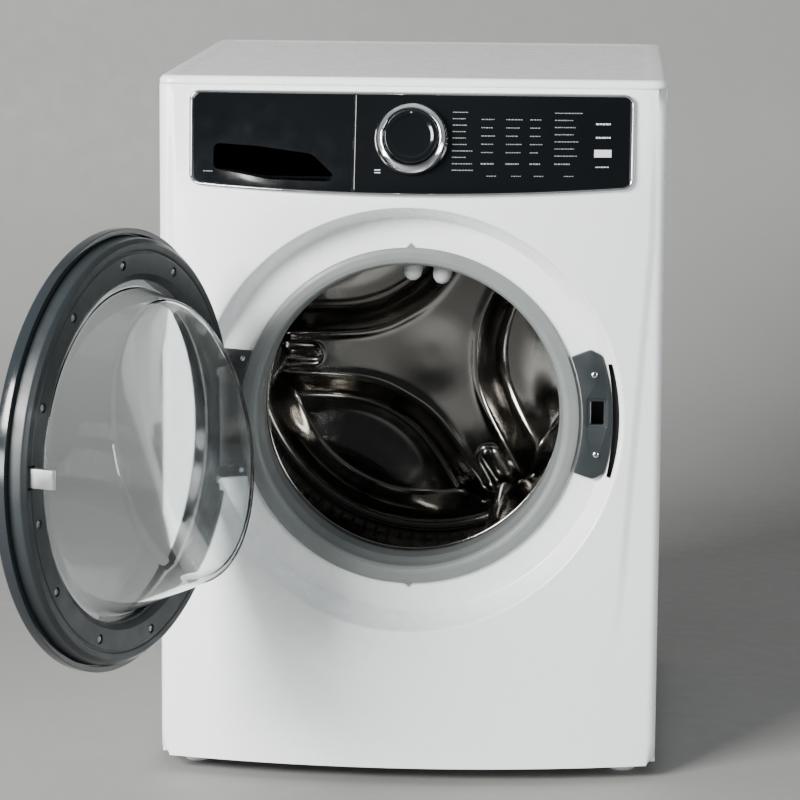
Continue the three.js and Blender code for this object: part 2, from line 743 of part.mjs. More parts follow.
// A round nozzle that looks down from the top of the gasket's throat.
function makeNozzle(turn) {
  const top = 202.6;
  const outline = [[0, top - 22], [7, top - 20], [12, top - 14], [13, top - 6], [13, top], [0, top]];
  const body = upright(outline, 0, 60, 14);
  const about = new THREE.Matrix4().makeRotationY(THREE.MathUtils.degToRad(turn));
  about.setPosition(0, 0, AXIS_Z);
  return solid(surface(body).applyMatrix4(about));
}

// ---- tub ----

function makeTubFront() {
  return ring([
    [222, TUB_FRONT], [244, TUB_FRONT], [248, 104], [296, 104], [TUB_R, 114], [TUB_R, TUB_SPLIT],
    [TUB_R - 6, TUB_SPLIT], [TUB_R - 6, 117], [294, 110], [222, 110],
  ], HIDDEN_STEPS);
}

function makeTubRear() {
  const shell = turned([
    [0, TUB_BACK - 10], [288, TUB_BACK - 10], [TUB_R - 6, TUB_BACK - 16], [TUB_R - 6, TUB_SPLIT + GAP],
    [TUB_R, TUB_SPLIT + GAP], [TUB_R, TUB_BACK - 14], [290, TUB_BACK - 2], [0, TUB_BACK],
  ], HIDDEN_STEPS);
  const hub = rod(42, TUB_BACK - 9, TUB_BACK + 32, 0, AXIS_Z, 24);
  const bore = rod(BEARING_R, TUB_BACK - 60, TUB_BACK + 60, 0, AXIS_Z, 24);
  const tube = (radius, low, high) =>
    upright([[0, low], [radius, low], [radius, high], [0, high]], SUMP_X, SUMP_Y, 16);
  const sumpNeck = tube(24, SUMP_LOW, SUMP_LOW + 35);
  const drain = tube(20, SUMP_LOW - 9, SUMP_LOW + 60);
  return cut(join(shell, hub, sumpNeck), bore, drain);
}

function arcBlock(innerR, outerR, fromDegrees, toDegrees, y0, y1, steps = 16) {
  const [a, b] = [fromDegrees, toDegrees].map(THREE.MathUtils.degToRad);
  const shape = new THREE.Shape();
  shape.absarc(0, AXIS_Z, outerR, a, b, false);
  shape.absarc(0, AXIS_Z, innerR, b, a, true);
  return plate(shape, y0, y1, steps);
}

function makeTopCounterweight() {
  const block = box([-135, 135], [350, 560], [AXIS_Z + 250, AXIS_Z + TUB_R + 72]);
  return cut(block, rod(TUB_R + 1, 300, 600, 0, AXIS_Z, 48));
}

function makeHeater() {
  const line = [
    [-70, 627, 223.5], [-70, 430, 223.5], [-54, 404, 220], [-38, 430, 217.5], [-38, 627, 217.5],
  ];
  return pipe(line, 4, 18, 5);
}

// A close-wound coil spring with a straight tail at each end.
function makeTubSpring(side) {
  class Coil extends THREE.Curve {
    getPoint(t, target = new THREE.Vector3()) {
      const turns = 6;
      const fade = Math.min(1, Math.min(t, 1 - t) * 12);
      const turn = 2 * Math.PI * turns * t;
      return target.set(11 * fade * Math.cos(turn), 11 * fade * Math.sin(turn), 120 * t);
    }
  }
  const coil = sweep(new Coil(), 2.2, 44, 4);
  const lean = new THREE.Matrix4().makeRotationY(side * THREE.MathUtils.degToRad(14));
  lean.setPosition(side * 252, 400, 770);
  return solid(surface(coil).applyMatrix4(lean));
}

function makeDamper(side) {
  const outline = [
    [0, 0], [7, 0], [7, 16], [15, 16], [15, 110], [12, 113], [6, 113], [6, 168], [0, 168],
  ];
  const body = upright(outline, 0, 0, 16);
  const lean = new THREE.Matrix4().makeRotationY(-side * THREE.MathUtils.degToRad(24));
  lean.setPosition(side * 226, 380, 72);
  return solid(surface(body).applyMatrix4(lean));
}

// ---- drum ----

function makeDrumShell() {
  const wall = DRUM_WALL;
  const outline = [
    [203, DRUM_FRONT + 6], [205, DRUM_FRONT], [212, DRUM_FRONT + 5], [264, DRUM_FRONT + 12],
    [DRUM_R + wall, DRUM_FRONT + 24], [DRUM_R + wall, DRUM_BACK], [DRUM_R, DRUM_BACK],
    [DRUM_R, DRUM_FRONT + 25], [262, DRUM_FRONT + 14.5], [209, DRUM_FRONT + 8],
  ];
  return ring(outline);
}

// How far back the drum's back stands at a point: a Y of three arms with pockets between them.
function backLevel(x, z) {
  const r = Math.hypot(x, z);
  const fromArm = ARM_TURNS.map((degrees) => {
    const turn = THREE.MathUtils.degToRad(degrees);
    const along = x * Math.cos(turn) + z * Math.sin(turn);
    const across = Math.abs(z * Math.cos(turn) - x * Math.sin(turn));
    return along > 0 ? across : r;
  });
  const blend = 29;
  const off = -blend * Math.log(fromArm.reduce((sum, d) => sum + Math.exp(-d / blend), 0));
  const wall = 41;
  const into = Math.min((off - ARM_HALF) / wall, (243 - r) / 26);
  const down = THREE.MathUtils.clamp(into, 0, 1);
  const raised = ARM_LEVEL + 30 * THREE.MathUtils.smoothstep(r, 215, 272);
  return raised + (POCKET_LEVEL - raised) * (1 - (1 - down) ** 1.8);
}

function makeDrumBack() {
  const edge = DRUM_R * Math.cos(Math.PI / RING_STEPS) - GAP;
  const radii = [3, 35, 62, 85, 107, 130, 152, 174, 196, 217, 230, 243, 258, edge];
  const rows = (offset) =>
    radii.map((r) =>
      Array.from({ length: RING_STEPS }, (_, i) => {
        const turn = (2 * Math.PI * i) / RING_STEPS;
        const [x, z] = [r * Math.cos(turn), r * Math.sin(turn)];
        return [x, backLevel(x, z) + offset, AXIS_Z + z];
      }),
    );
  return capped([...rows(0), ...rows(1.8).reverse()]);
}

// A lifter is a long rounded fin of sheet on the inside of the drum, open underneath.
function makeLifter(degrees) {
  const section = (half, top, foot) => [
    [-half, foot], [-half * 0.62, top * 0.42], [-half * 0.3, top * 0.86], [0, top],
    [half * 0.3, top * 0.86], [half * 0.62, top * 0.42], [half, foot],
  ];
  // Each station is a depth, half the width and the height there.
  const stations = [
    [DRUM_FRONT + 40, 20, 22], [DRUM_FRONT + 70, 40, LIFTER_HEIGHT - 6],
    [DRUM_FRONT + 130, 44, LIFTER_HEIGHT], [LIFTER_END - 70, 44, LIFTER_HEIGHT],
    [LIFTER_END - 22, 38, LIFTER_HEIGHT - 12], [LIFTER_END, 20, 20],
  ];
  const base = DRUM_R - 5;
  const fin = (wall, foot) => {
    const middle = (stations[0][0] + stations.at(-1)[0]) / 2;
    const rows = stations.map(([y, half, top]) => {
      const inset = wall * Math.sign(middle - y);
      return section(half - wall, top - wall, foot).map(([x, h]) => [x, y + inset, base - h]);
    });
    return capped(rows);
  };
  const about = new THREE.Matrix4().makeRotationY(THREE.MathUtils.degToRad(90 - degrees));
  about.setPosition(0, 0, AXIS_Z);
  return solid(surface(cut(fin(0, 0), fin(2, -4))).applyMatrix4(about));
}

// Three arms, a hub and the drum's shaft in one casting, lying behind the arms of the drum's back.
function makeSpider() {
  const front = ARM_LEVEL + 4;
  const hub = rod(40, front, DRUM_BACK + 1, 0, AXIS_Z, 24);
  const shaft = rod(SHAFT_R, DRUM_BACK - 5, PULLEY_Y + 22, 0, AXIS_Z, 20);
  const profile = [
    [0, front], [205, front], [232, DRUM_BACK - 22], [DRUM_R - 2, DRUM_BACK - 22],
    [DRUM_R - 2, DRUM_BACK - 9], [0, DRUM_BACK - 2],
  ];
  const arms = ARM_TURNS.map((degrees) => {
    const about = new THREE.Matrix4().makeRotationY(THREE.MathUtils.degToRad(-degrees));
    about.setPosition(0, 0, AXIS_Z);
    return solid(surface(column(profile, -13, 13)).applyMatrix4(about));
  });
  return join(hub, shaft, ...arms);
}

function makeBearing(y0, y1) {
  const [inner, outer] = [SHAFT_R + GAP, BEARING_R - GAP];
  return ring([[inner, y0], [outer, y0], [outer, y1], [inner, y1]], 16);
}

function makeDrumPulley() {
  const rim = ring([
    [DRUM_PULLEY_R - 8, PULLEY_Y - 8], [DRUM_PULLEY_R, PULLEY_Y - 8], [DRUM_PULLEY_R, PULLEY_Y + 8],
    [DRUM_PULLEY_R - 8, PULLEY_Y + 8],
  ], HIDDEN_STEPS);
  const web = rod(DRUM_PULLEY_R - 4, PULLEY_Y - 3, PULLEY_Y + 1, 0, AXIS_Z, HIDDEN_STEPS);
  const hub = rod(26, PULLEY_Y - 7, PULLEY_Y + 10, 0, AXIS_Z, 16);
  const windows = Array.from({ length: 5 }, (_, i) => {
    const turn = (2 * Math.PI * i) / 5;
    return rod(33, PULLEY_Y - 20, PULLEY_Y + 20, 86 * Math.cos(turn), AXIS_Z + 86 * Math.sin(turn), 8);
  });
  const bore = rod(SHAFT_R + GAP, PULLEY_Y - 40, PULLEY_Y + 40, 0, AXIS_Z, 20);
  return cut(join(rim, web, hub), ...windows, bore);
}

// ---- motor and belt ----

const makeMotor = () =>
  join(
    turned(
      [[0, 496], [40, 496], [72, 506], [78, 512], [78, 616], [72, 622], [30, 628], [18, 640], [0, 640]],
      24,
      MOTOR_X,
      MOTOR_Z,
    ),
    box([MOTOR_X - 66, MOTOR_X + 66], [520, 540], [MOTOR_Z - 12, MOTOR_Z + 100]).subtract(
      rod(TUB_R + 1, 400, 700, 0, AXIS_Z, 48),
    ),
  );

const makeMotorPulley = () =>
  join(
    rod(MOTOR_PULLEY_R, PULLEY_Y - 8, PULLEY_Y + 8, MOTOR_X, MOTOR_Z, 20),
    rod(6, 640 + GAP, PULLEY_Y + 14, MOTOR_X, MOTOR_Z, 12),
  );

// A belt around the two pulleys.
function makeBelt() {
  const [dx, dz] = [MOTOR_X, MOTOR_Z - AXIS_Z];
  const reach = Math.hypot(dx, dz);
  const heading = Math.atan2(dz, dx);
  const wrap = (extra) => {
    const [big, small] = [DRUM_PULLEY_R + extra, MOTOR_PULLEY_R + extra];
    const lean = Math.acos((big - small) / reach);
    const line = new THREE.Path();
    line.absarc(0, AXIS_Z, big, heading + lean, heading - lean + 2 * Math.PI, false);
    line.absarc(dx, AXIS_Z + dz, small, heading - lean, heading + lean, false);
    return line.getPoints(12);
  };
  const shape = new THREE.Shape(wrap(3.6));
  shape.holes.push(new THREE.Path(wrap(0.6)));
  return plate(shape, PULLEY_Y - 6.5, PULLEY_Y + 6.5);
}

// ---- water and power ----

function makeInletValve() {
  const body = box(
    [VALVE_X - 52, VALVE_X + 52],
    [702, DEPTH - SHEET - GAP],
    [VALVE_Z - 22, VALVE_Z + 22],
  );
  const ports = [-1, 1].map((side) => {
    const x = VALVE_X + (side * VALVE_PITCH) / 2;
    const port = rod(13.2, DEPTH - 10, DEPTH + 16, x, VALVE_Z, 20);
    return cut(port, rod(9, DEPTH + 2, DEPTH + 20, x, VALVE_Z, 16));
  });
  const spout = rod(8, 684, 704, VALVE_X, VALVE_Z, 12);
  return join(body, ...ports, spout);
}

function makeFillHose() {
  const sag = VALVE_Z - 2;
  const route = [
    [VALVE_X, 324.4, VALVE_Z], [VALVE_X, 400, sag], [VALVE_X, 600, sag], [VALVE_X, 683.6, VALVE_Z],
  ];
  return pipe(route, 9, 8, 10);
}

// The pump's body lies along Y, with its outlet to the right and its inlet to the left.
function makeDrainPump() {
  const outline = [
    [0, PUMP_Y - 60], [30, PUMP_Y - 60], [38, PUMP_Y - 50], [38, PUMP_Y], [30, PUMP_Y + 6],
    [30, PUMP_Y + 70], [0, PUMP_Y + 70],
  ];
  const body = turned(outline, 20, PUMP_X, PUMP_Z);
  const port = (radius, length, side) => {
    const along = surface(rod(radius, 0, length, 0, 0, 14)).rotateZ((-side * Math.PI) / 2);
    return solid(along.translate(PUMP_X, PORT_Y, PUMP_Z));
  };
  return join(body, port(12, 64, 1), port(18, 60, -1));
}

function makeSumpHose() {
  const route = [
    [PUMP_X - 60.4, PORT_Y, PUMP_Z], [PUMP_X - 84, PORT_Y, PUMP_Z], [66, 230, 104],
    [SUMP_X, 350, 112], [SUMP_X, SUMP_Y, 140], [SUMP_X, SUMP_Y, SUMP_LOW - 0.4],
  ];
  return pipe(route, 21, 14, 8);
}

function makeDrainHose() {
  const route = [
    [PUMP_X + 64.4, PORT_Y, PUMP_Z], [PUMP_X + 90, PORT_Y, PUMP_Z], [316, PUMP_Y + 60, 100],
    [318, 500, 96], [318, 680, 110], [314, 706, 220], [300, 706, 640],
    [DRAIN_X, 700, DRAIN_Z - 60], [DRAIN_X, 700, DRAIN_Z - 14.4],
  ];
  return pipe(route, 12, 28, 6);
}

// The spigot that an outside drain hose is pushed on to.
function makeDrainOutlet() {
  const elbow = rod(14, 686, 714, DRAIN_X, DRAIN_Z, 14);
  const outline = [
    [0, 700], [11.5, 700], [11.5, DEPTH + 12], [13, DEPTH + 14], [12, DEPTH + 22], [9, DEPTH + 22],
    [9, DEPTH + 2], [0, DEPTH + 2],
  ];
  const spigot = turned(outline, 14, DRAIN_X, DRAIN_Z);
  const disc = rod(22, DEPTH + GAP, DEPTH + 4, DRAIN_X, DRAIN_Z, 14);
  const collar = cut(disc, rod(10, DEPTH - 5, DEPTH + 20, DRAIN_X, DRAIN_Z, 14));
  return join(elbow, spigot, collar);
}

function makePowerInlet() {
  const around = (half, depths, halfHeight) =>
    box([POWER_X - half, POWER_X + half], depths, [POWER_Z - halfHeight, POWER_Z + halfHeight]);
  const flange = around(26, [DEPTH + GAP, DEPTH + 3], 20);
  const body = around(19, [712, DEPTH + 1], 14);
  const outline = [[0, DEPTH], [13, DEPTH], [13, DEPTH + 8], [10, DEPTH + 16], [0, DEPTH + 16]];
  const gland = turned(outline, 20, POWER_X, POWER_Z);
  const bore = rod(5, DEPTH - 20, DEPTH + 30, POWER_X, POWER_Z, 14);
  return cut(join(flange, body, gland), bore);
}

// ---- assembly ----

place("front_panel", makeFrontPanel(), WHITE);
place("left_side_panel", makeSidePanel(-1), WHITE);
place("right_side_panel", makeSidePanel(1), WHITE);
place("top_panel", makeTopPanel(), WHITE);
place("rear_panel", makeRearPanel(), ZINC);
place("rear_access_cover", makeAccessCover(), ZINC);
place("base_frame", makeBaseFrame(), ZINC);
for (const [name, x, y] of footPlaces) place(`foot_${name}`, makeFoot(x, y), PALE_PLASTIC);

place("console_panel", makeConsolePanel(), BLACK_GLOSS);
place("console_trim", makeConsoleTrim(), CHROME);
place("control_board", makeControlBoard(), BOARD);
place("selector_ring", makeKnobRing(), CHROME);
place("selector_cap", makeKnobCap(), BLACK_GLOSS);
place("drawer_front", makeDrawerFront(), BLACK_GLOSS);
place("drawer_tray", makeDrawerTray(), PALE_PLASTIC);
place("dispenser_housing", makeDispenserHousing(), PALE_PLASTIC);

const door = new THREE.Group();
door.position.set(HINGE_X, HINGE_Y, 0);
door.rotation.z = THREE.MathUtils.degToRad(-OPEN_ANGLE);
const closedDoor = new THREE.Group();
closedDoor.position.set(-HINGE_X, -HINGE_Y, 0);
door.add(closedDoor);
machine.add(door);
place("door_outer_frame", makeDoorOuterFrame(), SLATE, closedDoor);
place("door_inner_frame", makeDoorInnerFrame(), SLATE, closedDoor);
place("door_glass_bowl", makeGlassBowl(), CLEAR_GLASS, closedDoor);
place("door_outer_window", makeOuterWindow(), SMOKED_GLASS, closedDoor);
place("door_hinge_leaf", makeHingeLeaf(), ZINC, closedDoor);
place("door_hook", makeDoorHook(), ZINC, closedDoor);

place("hinge_bracket", makeHingeBracket(), ZINC);
place("hinge_pin", makeHingePin(), STEEL);
place("latch_strike_plate", makeStrikePlate(), SLATE);
place("door_lock", makeDoorLock(), BLACK_RUBBER);
place("door_gasket", makeGasket(), GREY_RUBBER);
place("spray_nozzle_middle", makeNozzle(0), PALE_PLASTIC);
place("spray_nozzle_right", makeNozzle(12), PALE_PLASTIC);

place("tub_front", makeTubFront(), TUB_PLASTIC);
place("tub_rear", makeTubRear(), TUB_PLASTIC);
place("counterweight_front", arcBlock(252, 300, 28, 152, 50, TUB_FRONT + 4 - GAP), CONCRETE);
place("counterweight_top", makeTopCounterweight(), CONCRETE);
place("water_heater", makeHeater(), STEEL);
for (const [word, side] of [["left", -1], ["right", 1]]) {
  place(`tub_spring_${word}`, makeTubSpring(side), STEEL);
  place(`tub_damper_${word}`, makeDamper(side), ZINC);
}

place("drum_shell", makeDrumShell(), STEEL);
place("drum_back", makeDrumBack(), STEEL);
ARM_TURNS.forEach((turn, i) => place(`drum_lifter_${i + 1}`, makeLifter(turn), STEEL));
place("drum_spider", makeSpider(), CASTING);
place("shaft_bearing_front", makeBearing(TUB_BACK - 8, TUB_BACK + 8), STEEL);
place("shaft_bearing_rear", makeBearing(TUB_BACK + 14, TUB_BACK + 30), STEEL);
place("drum_pulley", makeDrumPulley(), CASTING);
place("drive_motor", makeMotor(), ZINC);
place("motor_pulley", makeMotorPulley(), STEEL);
place("drive_belt", makeBelt(), BLACK_RUBBER);

place("inlet_valve", makeInletValve(), PALE_PLASTIC);
place("fill_hose", makeFillHose(), BLACK_RUBBER);
place("sump_hose", makeSumpHose(), BLACK_RUBBER);
place("drain_pump", makeDrainPump(), PALE_PLASTIC);
place("drain_hose", makeDrainHose(), BLACK_RUBBER);
place("drain_outlet", makeDrainOutlet(), PALE_PLASTIC);
place("power_inlet", makePowerInlet(), BLACK_RUBBER);

root.updateMatrixWorld(true);
const bounds = new THREE.Box3().setFromObject(root, true);
const middle = bounds.getCenter(new THREE.Vector3());
machine.position.set(-middle.x, -middle.y, -bounds.min.z);

export default root;
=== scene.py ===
import json
import math
import random

import bmesh
import bpy
from mathutils import Matrix, Vector


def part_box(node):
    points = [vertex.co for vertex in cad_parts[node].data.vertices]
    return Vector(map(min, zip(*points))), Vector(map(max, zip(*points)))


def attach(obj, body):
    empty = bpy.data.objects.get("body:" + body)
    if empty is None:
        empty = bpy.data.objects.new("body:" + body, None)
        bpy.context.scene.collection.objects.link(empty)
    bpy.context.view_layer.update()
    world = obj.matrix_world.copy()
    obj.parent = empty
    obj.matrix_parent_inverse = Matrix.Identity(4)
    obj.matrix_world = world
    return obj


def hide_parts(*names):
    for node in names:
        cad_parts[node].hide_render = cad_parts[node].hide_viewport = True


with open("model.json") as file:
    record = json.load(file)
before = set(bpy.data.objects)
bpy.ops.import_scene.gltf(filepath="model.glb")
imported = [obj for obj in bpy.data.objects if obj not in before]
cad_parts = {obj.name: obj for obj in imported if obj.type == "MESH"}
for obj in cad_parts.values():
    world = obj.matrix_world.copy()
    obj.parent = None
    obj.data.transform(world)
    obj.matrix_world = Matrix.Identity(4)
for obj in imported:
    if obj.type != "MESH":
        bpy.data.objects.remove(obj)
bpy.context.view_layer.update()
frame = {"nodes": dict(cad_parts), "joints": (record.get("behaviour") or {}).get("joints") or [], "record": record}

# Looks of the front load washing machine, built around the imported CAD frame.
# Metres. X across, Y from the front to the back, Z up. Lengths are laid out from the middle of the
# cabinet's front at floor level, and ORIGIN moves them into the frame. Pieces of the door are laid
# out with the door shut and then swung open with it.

# Cabinet
WIDTH = 0.686
DEPTH = 0.740
HEIGHT = 0.965
BULGE = 0.042  # how far the middle of the front stands out from its corners
PANEL_BOTTOM = 0.020
TOP_SEAM = 0.953
CORNER = 0.012
FRONT_HALF = WIDTH / 2 - CORNER
SHEET = 0.002
SIDE_FRONT = 0.024  # where the front panel's corner ends and the side panel starts

# Door opening
AXIS_Z = 0.503
RIM_R = 0.291
FLOOR_R = 0.272
FLOOR_Y = 0.008
HOLE_R = 0.224

# Door
DOOR_FRONT = -0.0515
NOTCH_HALF = 0.097
HINGE_X = -0.266
HINGE_Y = -0.038
LATCH_X = 0.257
LATCH_Z = AXIS_Z + 0.010

# Console
CONSOLE_HALF = 0.296
CONSOLE_TOP = 0.943
CONSOLE_LOW = 0.814
CONSOLE_SAG = 0.009
CONSOLE_THICK = 0.006
CONSOLE_ROUND = 0.011
TRIM = 0.004
SEAM_X = -0.075
KNOB_X = 0.002
KNOB_Z = 0.885
TILT = math.atan2(BULGE, TOP_SEAM - CONSOLE_LOW)

# Drum
DRUM_R = 0.275
DRUM_FRONT = 0.106
DRUM_BACK = 0.615
ARM_LEVEL = 0.552  # the raised arms of the drum's back
POCKET_LEVEL = 0.598
ARM_ANGLES = (180, 60, -60)

rear_low, rear_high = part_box("rear_panel")
ORIGIN = Vector(((rear_low.x + rear_high.x) / 2, rear_high.y - DEPTH, 0))

hinge = next(joint for joint in frame["joints"] if joint["name"] == "door_hinge")
hinge_point = Vector(hinge["pos_m"])
SWING = (
    Matrix.Translation(hinge_point)
    @ Matrix.Rotation(-math.radians(hinge["range_deg"][1]), 4, "Z")
    @ Matrix.Translation(-hinge_point)
)


at = Matrix.Translation
UPRIGHT = Matrix.Rotation(math.pi / 2, 4, "X")


# ---- points and faces ----

def lattice(rows, close_rows=False, close_columns=False):
    """Faces over rows of points."""
    count = len(rows[0])
    faces = []
    for i in range(len(rows) - (0 if close_rows else 1)):
        for j in range(count - (0 if close_columns else 1)):
            below, beside = (i + 1) % len(rows), (j + 1) % count
            faces.append((i * count + j, i * count + beside, below * count + beside, below * count + j))
    return [point for row in rows for point in row], faces


def merged(*parts):
    points, faces = [], []
    for some_points, some_faces in parts:
        start = len(points)
        points += list(some_points)
        faces += [tuple(start + i for i in face) for face in some_faces]
    return points, faces


def moved(part, matrix):
    points, faces = part
    return [matrix @ Vector(point) for point in points], faces


def rounded(outline, closed=True, steps=4):
    """An outline whose corners carry a third number, a radius, with those corners made round."""
    path = []
    for i, corner in enumerate(outline):
        here = Vector(corner[:2])
        end = not closed and i in (0, len(outline) - 1)
        if len(corner) < 3 or end:
            path.append(here)
            continue
        before = Vector(outline[i - 1][:2]) - here
        after = Vector(outline[(i + 1) % len(outline)][:2]) - here
        reach = corner[2] / math.tan(before.angle(after) / 2)
        reach = min(reach, 0.48 * before.length, 0.48 * after.length)
        first, last = here + before.normalized() * reach, here + after.normalized() * reach
        for k in range(steps + 1):
            t = k / steps
            path.append(first * (1 - t) ** 2 + here * 2 * t * (1 - t) + last * t * t)
    return path


def ring(outline, steps=144, steps_in_corner=4):
    """A closed outline of (radius, y) turned about the drum's axis."""
    path = rounded(outline, steps=steps_in_corner)
    rows = []
    for k in range(steps):
        turn = 2 * math.pi * k / steps
        c, s = math.cos(turn), math.sin(turn)
        rows.append([(r * c, y, AXIS_Z + r * s) for r, y in path])
    return lattice(rows, close_rows=True, close_columns=True)


def turned(outline, steps=32, matrix=Matrix.Identity(4), steps_in_corner=3):
    """An outline of (radius, height) from axis to axis, turned about Y."""
    path = rounded(outline, closed=False, steps=steps_in_corner)
    points = [(0, path[0][1], 0)]
    faces = []
    loops = [point for point in path if point[0] > 1e-6]
    for r, y in loops:
        for k in range(steps):
            turn = 2 * math.pi * k / steps
            points.append((r * math.cos(turn), y, r * math.sin(turn)))
    points.append((0, path[-1][1], 0))
    for i in range(len(loops) - 1):
        for k in range(steps):
            a, b = 1 + i * steps + k, 1 + i * steps + (k + 1) % steps
            faces.append((a, b, b + steps, a + steps))
    last = 1 + (len(loops) - 1) * steps
    for k in range(steps):
        beside = (k + 1) % steps
        faces.append((0, 1 + beside, 1 + k))
        faces.append((len(points) - 1, last + k, last + beside))
    return moved((points, faces), matrix)


def solid(first, last):
    """Two loops of as many points, joined by a wall and closed at both ends."""
    count = len(first)
    faces = [tuple(range(count))[::-1], tuple(range(count, 2 * count))]
    faces += [(i, (i + 1) % count, count + (i + 1) % count, count + i) for i in range(count)]
    return first + last, faces


def prism(outline, y0, y1):
    """An outline of (x, z) made solid between two depths."""
    return solid([(x, y0, z) for x, z in outline], [(x, y1, z) for x, z in outline])


def block(x, y, z):
    return prism([(x[0], z[0]), (x[1], z[0]), (x[1], z[1]), (x[0], z[1])], y[0], y[1])


def upright(outline, z0, z1):
    """An outline of (x, y) made solid between two heights."""
    return solid([(x, y, z0) for x, y in outline], [(x, y, z1) for x, y in outline])


def circle(x, y, radius, steps=32):
    turns = [2 * math.pi * k / steps for k in range(steps)]
    return [(x + radius * math.cos(turn), y + radius * math.sin(turn)) for turn in turns]


def round_box(x0, x1, z0, z1, radius, steps=8):
    corners = [(x0, z0, radius), (x1, z0, radius), (x1, z1, radius), (x0, z1, radius)]
    return [tuple(point) for point in rounded(corners, steps=steps)]


def arc(radius, start, end, steps, centre=(0, AXIS_Z)):
    turns = [math.radians(start + (end - start) * k / steps) for k in range(steps + 1)]
    return [(centre[0] + radius * math.cos(t), centre[1] + radius * math.sin(t)) for t in turns]


# ---- objects ----

def raw(name, part):
    points, faces = part
    mesh = bpy.data.meshes.new(name)
    mesh.from_pydata([tuple(point) for point in points], [], faces)
    obj = bpy.data.objects.new(name, mesh)
    bpy.context.scene.collection.objects.link(obj)
    tidy(mesh)
    return obj


def tidy(mesh):
    work = bmesh.new()
    work.from_mesh(mesh)
    bmesh.ops.remove_doubles(work, verts=work.verts, dist=2e-6)
    bmesh.ops.recalc_face_normals(work, faces=work.faces)
    work.to_mesh(mesh)
    work.free()


def baked(obj):
    """Puts the result of the modifiers into the mesh."""
    graph = bpy.context.evaluated_depsgraph_get()
    mesh = bpy.data.meshes.new_from_object(obj.evaluated_get(graph))
    obj.modifiers.clear()
    obj.data = mesh
    return obj


def carved(obj, *cutters):
    tools = [raw("cutter", part) for part in cutters]
    for tool in tools:
        cut = obj.modifiers.new("cut", "BOOLEAN")
        cut.operation = "DIFFERENCE"
        cut.solver = "EXACT"
        cut.object = tool
    baked(obj)
    for tool in tools:
        bpy.data.objects.remove(tool)
    return obj


def eased(obj, width, segments=2, angle=40):
    """Rounds the sharp edges a little."""
    ease = obj.modifiers.new("ease", "BEVEL")
    ease.width = width
    ease.segments = segments
    ease.limit_method = "ANGLE"
    ease.angle_limit = math.radians(angle)
    return baked(obj)


def dress(obj, look_name, body, replaces=(), slot=None, angle=35, door=False):
    """Finishes a piece: moves it into the frame, shades it, and ties it to its body.

    The slot argument is not used.
    """
    mesh = obj.data
    mesh.transform(Matrix.Translation(ORIGIN))
    if door:
        mesh.transform(SWING)
    mesh.materials.clear()
    mesh.materials.append(LOOKS[look_name])
    mesh.shade_smooth()
    mesh.set_sharp_from_angle(angle=math.radians(angle))
    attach(obj, body)
    if replaces:
        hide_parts(*replaces)
    return obj


def piece(name, part, *tied, **settings):
    """Makes a piece from points and faces, and finishes it as dress does."""
    return dress(raw(name, part), *tied, **settings)


# ---- materials ----

class Graph:
    """A material's node tree, with short ways to add nodes."""

    def __init__(self, name):
        self.material = bpy.data.materials.new(name)
        self.material.use_nodes = True
        self.tree = self.material.node_tree
        self.shader = self.tree.nodes["Principled BSDF"]
        self.place = self.add("ShaderNodeTexCoord").outputs["Object"]

    def add(self, kind, **settings):
        node = self.tree.nodes.new(kind)
        for key, value in settings.items():
            setattr(node, key, value)
        return node

    def link(self, source, target):
        self.tree.links.new(source, target)

    def noise(self, scale, detail=3, stretch=(1, 1, 1)):
        mapping = self.add("ShaderNodeMapping")
        mapping.inputs["Scale"].default_value = stretch
        self.link(self.place, mapping.inputs["Vector"])
        node = self.add("ShaderNodeTexNoise")
        node.inputs["Scale"].default_value = scale
        node.inputs["Detail"].default_value = detail
        self.link(mapping.outputs["Vector"], node.inputs["Vector"])
        return node.outputs["Fac"]

    def ranged(self, source, low, high, out_low, out_high):
        node = self.add("ShaderNodeMapRange")
        node.inputs["From Min"].default_value = low
        node.inputs["From Max"].default_value = high
        node.inputs["To Min"].default_value = out_low
        node.inputs["To Max"].default_value = out_high
        self.link(source, node.inputs["Value"])
        return node.outputs["Result"]

    def mixed(self, factor, first, second):
        node = self.add("ShaderNodeMix", data_type="RGBA")
        self.link(factor, node.inputs["Factor"])
        for value, socket in ((first, node.inputs["A"]), (second, node.inputs["B"])):
            if isinstance(value, (tuple, list)):
                socket.default_value = (*value, 1)
            else:
                self.link(value, socket)
        return node.outputs["Result"]

    def bump(self, height, distance, strength=1.0, after=None):
        node = self.add("ShaderNodeBump")
        node.inputs["Strength"].default_value = strength
        node.inputs["Distance"].default_value = distance
        self.link(height, node.inputs["Height"])
        if after:
            self.link(after, node.inputs["Normal"])
        return node.outputs["Normal"]

    def set(self, **sockets):
        for name, value in sockets.items():
            self.shader.inputs[name.replace("_", " ")].default_value = value


def shade(colour, factor):
    return tuple(min(1.0, channel * factor) for channel in colour)


